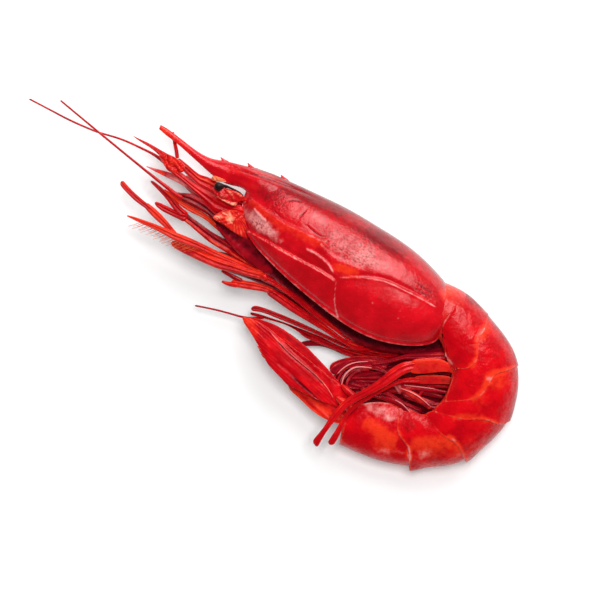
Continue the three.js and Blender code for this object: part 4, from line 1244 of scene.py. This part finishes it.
limb(
    "swimmeret_left_1", "swimmeret",
    (between([(38.5, -12.6), (33, -13), (27, -13.4), (24.5, -14.1), (21.25, -14.9), (18, -15.3)],
             [(38.5, -15), (33, -15.4), (26.75, -14.8), (24.5, -15.3), (21.5, -16), (17.8, -16.3)],
             [11.8, 12, 11.6, 11.4], 0.7, 0.2), tinted(dark=0.1, edge=0.2)),
    (between([(22, -14.4), (16.25, -14), (13, -14.25), (10.5, -14.75), (8.25, -15.6), (6.8, -17)],
             [(22, -17.6), (17, -17.3), (13.5, -17), (11, -17.4), (9.6, -18.6), (8.8, -19.4)],
             [10.8, 10.4, 10], 0.25, relief=arched_ribs), tinted(dark=0.1, edge=0.5)),
    material=UNDER_SHELL,
)
limb(
    "swimmeret_left_2", "swimmeret",
    (between([(39.5, -16.8), (36.4, -15.3), (34.5, -14.6), (31.5, -14.5), (28.4, -14.8), (27.2, -15.6)],
             [(39.5, -18.6), (36.4, -17.9), (33, -18.2), (30, -18.4), (27.8, -18.2), (26.8, -17.2)],
             [13, 13.8, 14.2, 14.2], 0.45, 0.25, square=0.25),
     tinted(orange=0.45, dark=0.15, edge=0.35, core=0.2)),
    (between(
        [(29.4, -15.1), (26.25, -15.3), (23.75, -16.5), (22, -17.75), (20, -19.5), (17.5, -21.25),
         (15, -22.75), (12.5, -24), (10.5, -25.5), (9, -27.25), (7.5, -29), (6.5, -30.75), (5.3, -32.5),
         (3.9, -34.2), (3.2, -35.3), (3.7, -36.4)],
        [(29.2, -17.6), (27, -18.1), (25, -19.1), (23, -20.5), (20.9, -21.8), (18.2, -23.2), (15.5, -24.6),
         (13.25, -25.9), (11.5, -27), (10, -28.75), (8.5, -30.5), (7.5, -31.75), (6.25, -33.5),
         (5.25, -35.25), (4.4, -36.75)],
        [14.2, 14.8, 15, 14.8, 14.2, 13], 0.4, 0.4), tinted(edge=0.4)),
)
limb(
    "swimmeret_left_3", "swimmeret",
    (between([(41, -20.6), (38.2, -19.5), (36.4, -18.9), (33, -18.7), (30, -18.8), (28.4, -19.3)],
             [(41, -22), (38.2, -21.2), (35, -21), (32, -21), (29.6, -20.9), (28, -20.3)],
             [11.4, 12.2, 12.6, 12.6], 0.45, 0.25, square=0.25),
     tinted(orange=0.4, dark=0.25, edge=0.35, core=0.2)),
    (between(
        [(30.4, -19.1), (26, -19.5), (23.75, -20.5), (21.25, -21.5), (18.75, -22.75), (16.25, -24.1),
         (13.75, -25.75), (11.75, -27.75), (10.25, -30), (9, -32.25), (7.4, -34.7), (6.8, -35.8)],
        [(30, -20.8), (25.5, -20.8), (23, -21.75), (20, -23.25), (17.5, -24.75), (15, -26.25), (13, -28),
         (11.75, -29.5), (10.75, -31.75), (9.75, -34), (8.75, -35.75), (8, -36.5)],
        [12.6, 12.8, 12.8, 12.6, 12.2], 0.4, 0.4), tinted(edge=0.4)),
)
limb(
    "swimmeret_left_4", "swimmeret",
    (between([(37, -25.6), (32.5, -25.5), (30, -24.1), (27.5, -22.5), (25.5, -22.4)],
             [(36, -28), (32, -27.2), (29.5, -25.75), (27, -24.9), (25.5, -24.25)],
             [10.2, 11, 11.2], 0.5, 0.5), tinted(dark=0.2, edge=0.4)),
    (between([(26, -22.2), (22.5, -18.4), (20.75, -17.25), (18, -16.4), (15.5, -16.4), (13.5, -16.9),
              (11.75, -17.75), (10.5, -19.1), (9.9, -20.75), (10, -22.25)],
             [(25, -24.2), (22, -19.25), (20.25, -18.1), (18, -17.4), (16, -17.4), (14.25, -17.7),
              (12.75, -18.4), (11.5, -19.5), (10.75, -20.75), (10.75, -22.25)],
             [11, 10.2, 9.6, 9.2, 9], 0.8), tinted(dark=0.1, pale=0.35)),
    (between([(24, -21), (21, -18.6), (17, -17.6), (13.5, -18.2), (11.6, -19.6)],
             [(24, -23), (19.5, -22.2), (15.5, -22.2), (12.5, -22.4), (11, -22.4)],
             [9, 8.4, 8], 0.2, relief=limp_ribs), tinted(dark=0.3, edge=0.3)),
    material=UNDER_SHELL,
)
limb(
    "swimmeret_left_5", "swimmeret",
    (between([(31, -27.4), (28, -26.2), (25.5, -25), (23, -23.4), (21, -22.6)],
             [(29.5, -29.2), (26.5, -27.6), (24, -26.4), (21.5, -25.4), (19.5, -24.6)],
             [9.6, 10, 10, 9.6], 0.5, 0.5), tinted(dark=0.3, edge=0.4)),
    (between([(24, -24.4), (21, -23.4), (18, -22.8), (15, -21.6)],
             [(23, -26.2), (20.5, -25), (18, -24.4), (15.2, -23)],
             [9.4, 9, 8.4], 0.4, 0.5), tinted(dark=0.1, edge=0.5)),
    material=UNDER_SHELL,
)
STRANDS = [
    [(37, -23.2, 10.2, 0.5), (32, -22.4, 10.4, 0.6), (26.5, -21.6, 10.2, 0.55), (20, -20.6, 9.6, 0.4),
     (14, -20.4, 9, 0.2)],
    [(36, -24.4, 9.8, 0.5), (31, -23.2, 10, 0.6), (25.5, -22.2, 9.8, 0.5), (19.5, -21.6, 9.2, 0.4),
     (14.5, -21.6, 8.6, 0.2)],
    [(34, -26.2, 9.4, 0.5), (29.5, -24.4, 9.8, 0.55), (24.5, -23, 9.4, 0.5), (19, -22.6, 8.8, 0.3),
     (15.5, -22.8, 8.4, 0.2)],
    [(38, -18.6, 10.8, 0.5), (31, -17.4, 10.6, 0.5), (24.5, -17.6, 10.2, 0.5), (19, -18.4, 9.6, 0.4),
     (14.5, -19.2, 9, 0.2)],
    [(38, -21.8, 10.4, 0.5), (31, -21.2, 10.4, 0.5), (25, -20.2, 10.2, 0.5), (19.5, -19.6, 9.6, 0.4),
     (13, -19.6, 9, 0.2)],
]
STRIPS = [
    [(21.6, -21.2, 10.6, 0.4), (25.5, -21.6, 11.2, 0.55), (29, -22, 11.4, 0.6), (32.4, -22.4, 11.2, 0.5),
     (36, -23, 10.8, 0.3)],
    [(24.4, -22, 10.8, 0.4), (26.6, -22.9, 11.6, 0.7), (28.9, -24.1, 11.8, 0.8), (30.8, -25.6, 11.6, 0.7),
     (32.6, -27.2, 11.2, 0.4)],
    [(21.2, -24.4, 10.4, 0.4), (24, -25.4, 11, 0.55), (26, -26.8, 11, 0.55), (27.8, -28.8, 10.6, 0.4)],
    [(33, -21, 10.8, 0.4), (30.4, -23, 11.2, 0.4), (29.4, -24.8, 10.8, 0.3)],
]
# glints: thin tubes painted pale as highlights on the strips and the coil
GLINTS = [
    [(25.2, -22.1, 11.6, 0.08), (27.4, -22.9, 12.4, 0.13), (29.8, -24.2, 12.4, 0.14),
     (32.4, -26.4, 11.8, 0.08)],
    [(23.8, -25, 11.5, 0.08), (25.8, -26.2, 11.6, 0.13), (27.6, -28.2, 11.1, 0.08)],
    [(26, -21.3, 11.6, 0.08), (29.6, -21.7, 12, 0.12), (33.6, -22.2, 11.6, 0.08)],
    [(10.4, -21.3, 10.6, 0.12), (11, -19.1, 11, 0.2), (12.6, -17.5, 11.2, 0.22), (14.5, -16.7, 11.2, 0.2),
     (18, -17, 11, 0.1)],
    [(9.4, -18.4, 10.8, 0.1), (11.4, -16.6, 11, 0.16), (14, -15.6, 11.2, 0.16), (17, -15.4, 11.2, 0.08)],
]
COIL_X = 16.4  # with COIL_Y, what the fringes coil round
COIL_Y = -21.6
fringe = []
for number, strand in enumerate(STRANDS):
    tints = tinted(dark=0.35 if number % 2 else 0.05, edge=0.5, core=0.5)
    fringe.append((14, 60, tube(strand, 0.7), tints))
for reach in (4.1, 5.2, 6.2, 7.1):
    arc = [
        (COIL_X + reach * np.cos(a) * 1.15, COIL_Y + reach * np.sin(a), 10.6 - reach / 8, 0.34)
        for a in np.radians(np.linspace(78, 205, 9))
    ]
    tints = tinted(dark=0.15, pale=0.25 if reach < 5 else 0.1, core=0.3)
    fringe.append((12, 60, tube(arc, 0.8), tints))
for number, strip in enumerate(STRIPS):
    tints = tinted(orange=0.35 * (number == 1), pale=0.12, edge=0.3, core=0.4)
    fringe.append((18, 60, tube(strip, 0.6), tints))
for glint in GLINTS:
    fringe.append((10, 50, tube(glint), tinted(pale=0.85, core=0)))
piece("swimmeret_fringe", [], "swimmeret", UNDER_SHELL, *fringe)


def strand_folds(xy):
    """Height of the limp strands that run along the web."""
    return waves(xy, 0.3, 5.5, -0.12, 1) + waves(xy, 0.15, 9, 0.2, 1)


# a sheet under the fringe, painted dark as the shade seen in its gaps
web = between(
    [(39, -14), (30, -14.4), (22, -15.4), (15, -15.6), (10, -16.6), (7.6, -19)],
    [(38, -25), (33, -28.6), (26, -28.6), (18, -27.4), (13, -26.4), (9.4, -24.6)],
    [7, 7.4, 7.4, 6.8], 0.08, relief=strand_folds,
)
piece("swimmeret_shade_sheet", [], "under_limb", UNDER_SHELL, (90, 120, web, tinted(dark=0.65, core=0)))
RIGHT_SWIMMERETS = [
    [(38.5, -13.6, 5.2, 1.6), (33, -14.6, 4.4, 2.2), (26, -15.6, 4, 2.4), (19, -16.6, 3.6, 2.4),
     (12, -17.6, 3, 1.6), (8.5, -18, 2.6, 0.4)],
    [(42, -19.6, 4.8, 1.6), (36, -17.8, 4.4, 2.2), (29, -18, 4.2, 2.4), (22, -19.4, 3.8, 2.6),
     (16, -20.6, 3.2, 2), (12, -21.6, 2.8, 0.5)],
    [(43, -22.4, 4.6, 1.5), (36, -21.2, 4.2, 2.2), (29.5, -21.2, 4, 2.4), (24, -22.2, 3.8, 2.4),
     (18.5, -22.8, 3.4, 1.8), (14, -23, 3, 0.5)],
    [(37, -26.8, 4.4, 1.6), (31.5, -25.2, 4.2, 2.2), (26.5, -24.6, 4.2, 2.2), (22, -24.4, 3.8, 1.8),
     (17.5, -24, 3.6, 0.5)],
    [(30, -28.6, 4.4, 1.5), (26.5, -27, 5, 1.8), (22, -25.8, 5.2, 1.5), (18.5, -24.6, 5.2, 0.5)],
]
for index, line in enumerate(RIGHT_SWIMMERETS):
    part = (tube(line, 0.4), tinted(dark=0.4))
    limb(f"swimmeret_right_{index + 1}", "under_limb", part, material=UNDER_SHELL)

# Tail fan: the telson, a tapering ridged spike hinged to the last plate, between two folded pairs of thin
# ribbed blades. The left pair lies on top and the right pair below.

# Thin ribbed shell without a film: a bright dry red, with pale painted highlights on its ridges and rims.
FAN_SHELL = cooked_shell(
    "thin ribbed tail shell", "#b2020f", "#d60613", pale="#f4746a", dark="#6a0410", roughness=0.35, coat=0,
)
PANEL_EDGE = [(-6, -15.2), (-2.5, -18), (0, -20.5), (2.5, -23), (5.5, -26)]
PANEL_RIDGE = [
    (-8.4, -6.9), (-3.75, -12.2), (-0.6, -15), (3.1, -18.1), (5.6, -20.6), (7.5, -22.8), (8.4, -25),
]
DARK_LINE = [(-6, -10), (-2.5, -13.6), (0.6, -16.2), (3.8, -18.9), (6.4, -21.6)]
CREASE = [(-12.2, -6.4), (-8, -11.4), (-3, -16), (2, -20), (6.4, -24.4)]
SHADED_EDGE = [(-4.8, -17.6), (-1.5, -19.6), (1.5, -22.2), (4.4, -24.6)]
ACROSS_FAN = (0.66, 0.75)  # direction in which the blades' ribs follow each other


def blade_relief(xy):
    """Height of the upper blade's panels, ridge, lines and fine ribs."""
    return waves(xy, 0.025, 9, *ACROSS_FAN) + strokes(
        xy, (PANEL_EDGE, -0.2, 0.2, 0.4), (PANEL_RIDGE, 0.3, 0.2, 0.2), (DARK_LINE, -0.3, 0.25, 0.25),
        (CREASE, 0.08, 0.25, 0.5),
    )


def blade_paint(points, turn, length):
    """Tints of the upper blade: an orange end and rim, a pale end, pale painted highlights on its ridge and
    rim, and painted shade in its grooves, along its shaded edge and underneath.
    """
    xy = points[:, :2]
    rim = ease(0.92, 1, np.abs(across_limb(turn)))
    return {
        "orange": 0.7 * ease(0.6, 0.9, length) + 0.4 * rim + stroke(xy, CREASE, 0.2, 0.8, 0.8),
        "pale": stroke(xy, PANEL_RIDGE, 0.85, 0.2, 0.2) + 0.45 * ease(0.94, 1, length) + 0.3 * rim,
        "dark": 0.6 * underside(turn) + strokes(
            xy, (PANEL_EDGE, 0.5, 0.25, 0.6), (DARK_LINE, 0.8, 0.25, 0.3),
            (SHADED_EDGE, 0.6, 0.35, 0.7, 0.4),
        ),
    }


SPIKE_BARS = [(-6.4, -8.7), (-2, -12.6), (1, -15), (3.9, -17.6), (7.6, -21.4), (11, -25)]


def spike_relief(xy):
    """Height of the telson's groove and crumpled skin."""
    return stroke(xy, SPIKE_BARS, -0.35, 0.18, 0.18) + 0.15 * crumpled(xy, -43, 1.4)


def spike_paint(points, turn, length):
    """Tints of the telson: an orange tip and rims, pale painted highlights on its rims and painted shade in
    its groove.
    """
    rim = ease(0.8, 0.97, np.abs(across_limb(turn)))
    return {
        "orange": 0.5 * ease(0.7, 1, length) + 0.4 * rim, "pale": 0.6 * rim,
        "dark": stroke(points[:, :2], SPIKE_BARS, 0.8, 0.2, 0.2),
    }


OUTER_LEFT = [
    (11, -28), (8.5, -26.4), (5.5, -25.5), (2.5, -24), (0, -22.75), (-1.75, -21.9), (-3.25, -21.2),
    (-5, -19.25), (-7.5, -16.75), (-8.5, -15.25), (-9.25, -13.75), (-10.25, -11.75), (-12, -8.75),
    (-13, -7.25), (-14, -5.75), (-14.5, -4.4),
]
OUTER_RIGHT = [
    (11.5, -27), (9, -25.2), (7.5, -22.75), (6.25, -21), (5, -19.5), (3, -17.25), (1.25, -15.5),
    (-0.75, -13.75), (-2.5, -12), (-4.25, -10.25), (-6.25, -8.25), (-8, -6.9), (-10.5, -5.4), (-13, -4.4),
    (-14.4, -4.15),
]
TELSON_LEFT = [
    (11.9, -28.5), (8.4, -24.6), (5.9, -21.8), (4.2, -20), (2.2, -17.6), (0.2, -15.6), (-2.6, -13.3),
    (-5, -11.3), (-7.4, -9),
]
TELSON_RIGHT = [
    (13.4, -24.6), (9.6, -20.9), (8.2, -19.8), (6.9, -18.8), (4.2, -16.6), (1.1, -14.1), (-2, -11.7),
    (-5, -9.4), (-7.2, -8),
]
INNER_LEFT = [
    (13.4, -24.6), (9.6, -20.9), (6.9, -18.8), (4.2, -16.6), (1.1, -14.1), (-2, -11.7), (-5, -9.4),
    (-8, -6.9), (-10.6, -5.5), (-12.6, -4.5),
]
INNER_RIGHT = [
    (13, -23.5), (10.25, -21.2), (9.75, -20.5), (8.25, -18.75), (6.75, -17), (4.5, -14.75), (2.5, -12.5),
    (0.75, -11), (-0.5, -10), (-2.25, -8.75), (-4, -7.4), (-6.25, -6.2), (-8.75, -5.2), (-11, -4.6),
    (-12.6, -4.3),
]
SERRATIONS = [(-8.9, -14.2, 0.26), (-9.4, -13.2, 0.24), (-9.9, -12.2, 0.22)]
limb(
    "uropod_outer_left", "tail_shell",
    (between(OUTER_LEFT, OUTER_RIGHT, [10.6, 11.2, 11.3, 11, 10.6], 0.1, relief=blade_relief), blade_paint),
    *(
        (tube([(x + 0.6, y - 0.6, 10.9, r), (x - 0.3, y + 0.2, 10.9, r), (x - 0.8, y + 0.8, 10.9, 0.08)]),
         tinted(orange=0.5))
        for x, y, r in SERRATIONS
    ),
    (tube([(13.5, -27.6, 11.2, 1.6), (10.8, -25.6, 11.6, 1.1), (9, -24.2, 11.8, 0.4)]),
     tinted(orange=0.4, edge=0.4)),
    around=110, along=150, material=FAN_SHELL,
)
limb(
    "telson", "tail_shell",
    (between(TELSON_LEFT, TELSON_RIGHT, [9.6, 10.7, 10.9, 10.8, 10.4], 0.2, relief=spike_relief, square=0.4),
     spike_paint),
    around=50, along=150, material=FAN_SHELL,
)
limb(
    "uropod_inner_left", "tail_shell",
    (between(INNER_LEFT, INNER_RIGHT, [10, 10.4, 10.5, 10.2], 0.16, 0.3, square=0.4),
     tinted(dark=0.15, tip=0.3, edge=0.55, core=0.3)),
    (tube([(14, -24.8, 11, 1.1), (11.8, -22.6, 11.4, 0.8), (10.4, -21.2, 11, 0.35)]),
     tinted(orange=0.2, edge=0.4)),
    material=FAN_SHELL,
)
LOW_LEFT = [
    (11, -31.4), (8, -30.5), (5.25, -29.25), (2.5, -27.25), (0, -24.75), (-2.7, -22.4), (-3.2, -20.6),
    (-6, -16.4), (-9.5, -11.6), (-13.6, -6),
]
LOW_RIGHT = [(12, -28), (8, -24.4), (4, -19.6), (0, -15.6), (-4, -11.6), (-8, -8), (-12, -5.4), (-14.2, -5)]


def low_ribs(xy):
    """Height of the lower blade's ribs."""
    return waves(xy, 0.12, 5, *ACROSS_FAN)


limb(
    "uropod_outer_right", "tail_shell",
    (between(LOW_LEFT, LOW_RIGHT, [9.6, 9.9, 9.6, 8, 6], 0.1, relief=low_ribs),
     tinted(orange=0.4, edge=0.4, core=0)),
    (tube([(13, -30, 9, 1.2), (9, -28.8, 9, 0.8), (5.6, -27.4, 8.4, 0.3)]),
     tinted(orange=0.5, pale=0.2, edge=0.4)),
    material=FAN_SHELL,
)
limb(
    "uropod_inner_right", "tail_shell",
    (between([(15, -32), (10.4, -28.6), (5.9, -21.8), (2.2, -17.6), (-2.6, -13.3), (-7.4, -9)],
             [(15.5, -28), (11.6, -24.6), (8.2, -18.8), (4.5, -14.75), (0.75, -11), (-4, -7.5), (-7.4, -6.6)],
             [5, 3.6, 3.1, 2.8, 2.6], 0.25), tinted(dark=0.2)),
)

# Floor, light and camera: a plain white lit table, a soft lamp at the upper right, another high above
# that leaves no glints, a dim sky, and the camera straight over the prawn.
floor_mesh = bmesh.new()
bmesh.ops.create_grid(floor_mesh, x_segments=1, y_segments=1, size=2.0)
floor_data = bpy.data.meshes.new("floor")
floor_mesh.to_mesh(floor_data)
floor_mesh.free()
# White paper that glows a little, so shadows on it stay pale and it has no edge to see.
TABLE = bpy.data.materials.new("white lit table")
TABLE.use_nodes = True
TABLE.node_tree.nodes.clear()
paper = add(
    TABLE.node_tree, "ShaderNodeBsdfPrincipled",
    values={"Base Color": linear("#e6e6e6"), "Roughness": 0.9, "Specular IOR Level": 0.1,
            "Emission Color": linear("#ffffff"), "Emission Strength": 0.21},
)
add(TABLE.node_tree, "ShaderNodeOutputMaterial", links={"Surface": (paper, "BSDF")})
floor_data.materials.append(TABLE)
floor = bpy.data.objects.new("floor", floor_data)
bpy.context.scene.collection.objects.link(floor)

LOOK_AT = Vector((TO_CENTRE[0] / 1000, TO_CENTRE[1] / 1000, 0.012))


def soft_lamp(name, toward, distance, size, power):
    """A square lamp facing the prawn from the given direction."""
    data = bpy.data.lights.new(name, "AREA")
    data.size = size
    data.energy = power
    lamp = bpy.data.objects.new(name, data)
    bpy.context.scene.collection.objects.link(lamp)
    away = Vector(toward).normalized()
    turn = away.to_track_quat("Z", "Y").to_matrix().to_4x4()
    lamp.matrix_world = Matrix.Translation(LOOK_AT + away * distance) @ turn
    return lamp


soft_lamp("key lamp", toward=(0.45, 0.85, 0.9), distance=0.7, size=0.48, power=3.8)
top_lamp = soft_lamp("top lamp", toward=(0.07, 0.13, 1.0), distance=1.6, size=0.6, power=20.5)
top_lamp.visible_glossy = False

world = bpy.data.worlds.new("studio")
world.use_nodes = True
bpy.context.scene.world = world
sky = world.node_tree
sky.nodes.clear()
direction = add(sky, "ShaderNodeTexCoord")
heights = add(sky, "ShaderNodeSeparateXYZ", links={"Vector": (direction, "Generated")})
shade = add(
    sky, "ShaderNodeMapRange", values={"From Min": 0.0, "From Max": 0.4, "To Min": 0.5, "To Max": 0.06},
    links={"Value": (heights, "Z")},
)
glow = add(sky, "ShaderNodeBackground", links={"Strength": (shade, "Result")})
add(sky, "ShaderNodeOutputWorld", links={"Surface": (glow, "Background")})

bpy.context.scene.view_settings.view_transform = "Standard"

CAMERA_HEIGHT = 1.2
SENSOR_MM = 36.0
VIEW_WIDTH = 0.150  # width of the picture at the prawn's middle height
camera_data = bpy.data.cameras.new("camera")
camera_data.sensor_width = SENSOR_MM
camera_data.lens = SENSOR_MM * (CAMERA_HEIGHT - LOOK_AT.z) / VIEW_WIDTH
camera = bpy.data.objects.new("camera", camera_data)
camera.location = (LOOK_AT.x, LOOK_AT.y, CAMERA_HEIGHT)
bpy.context.scene.collection.objects.link(camera)
bpy.context.scene.camera = camera
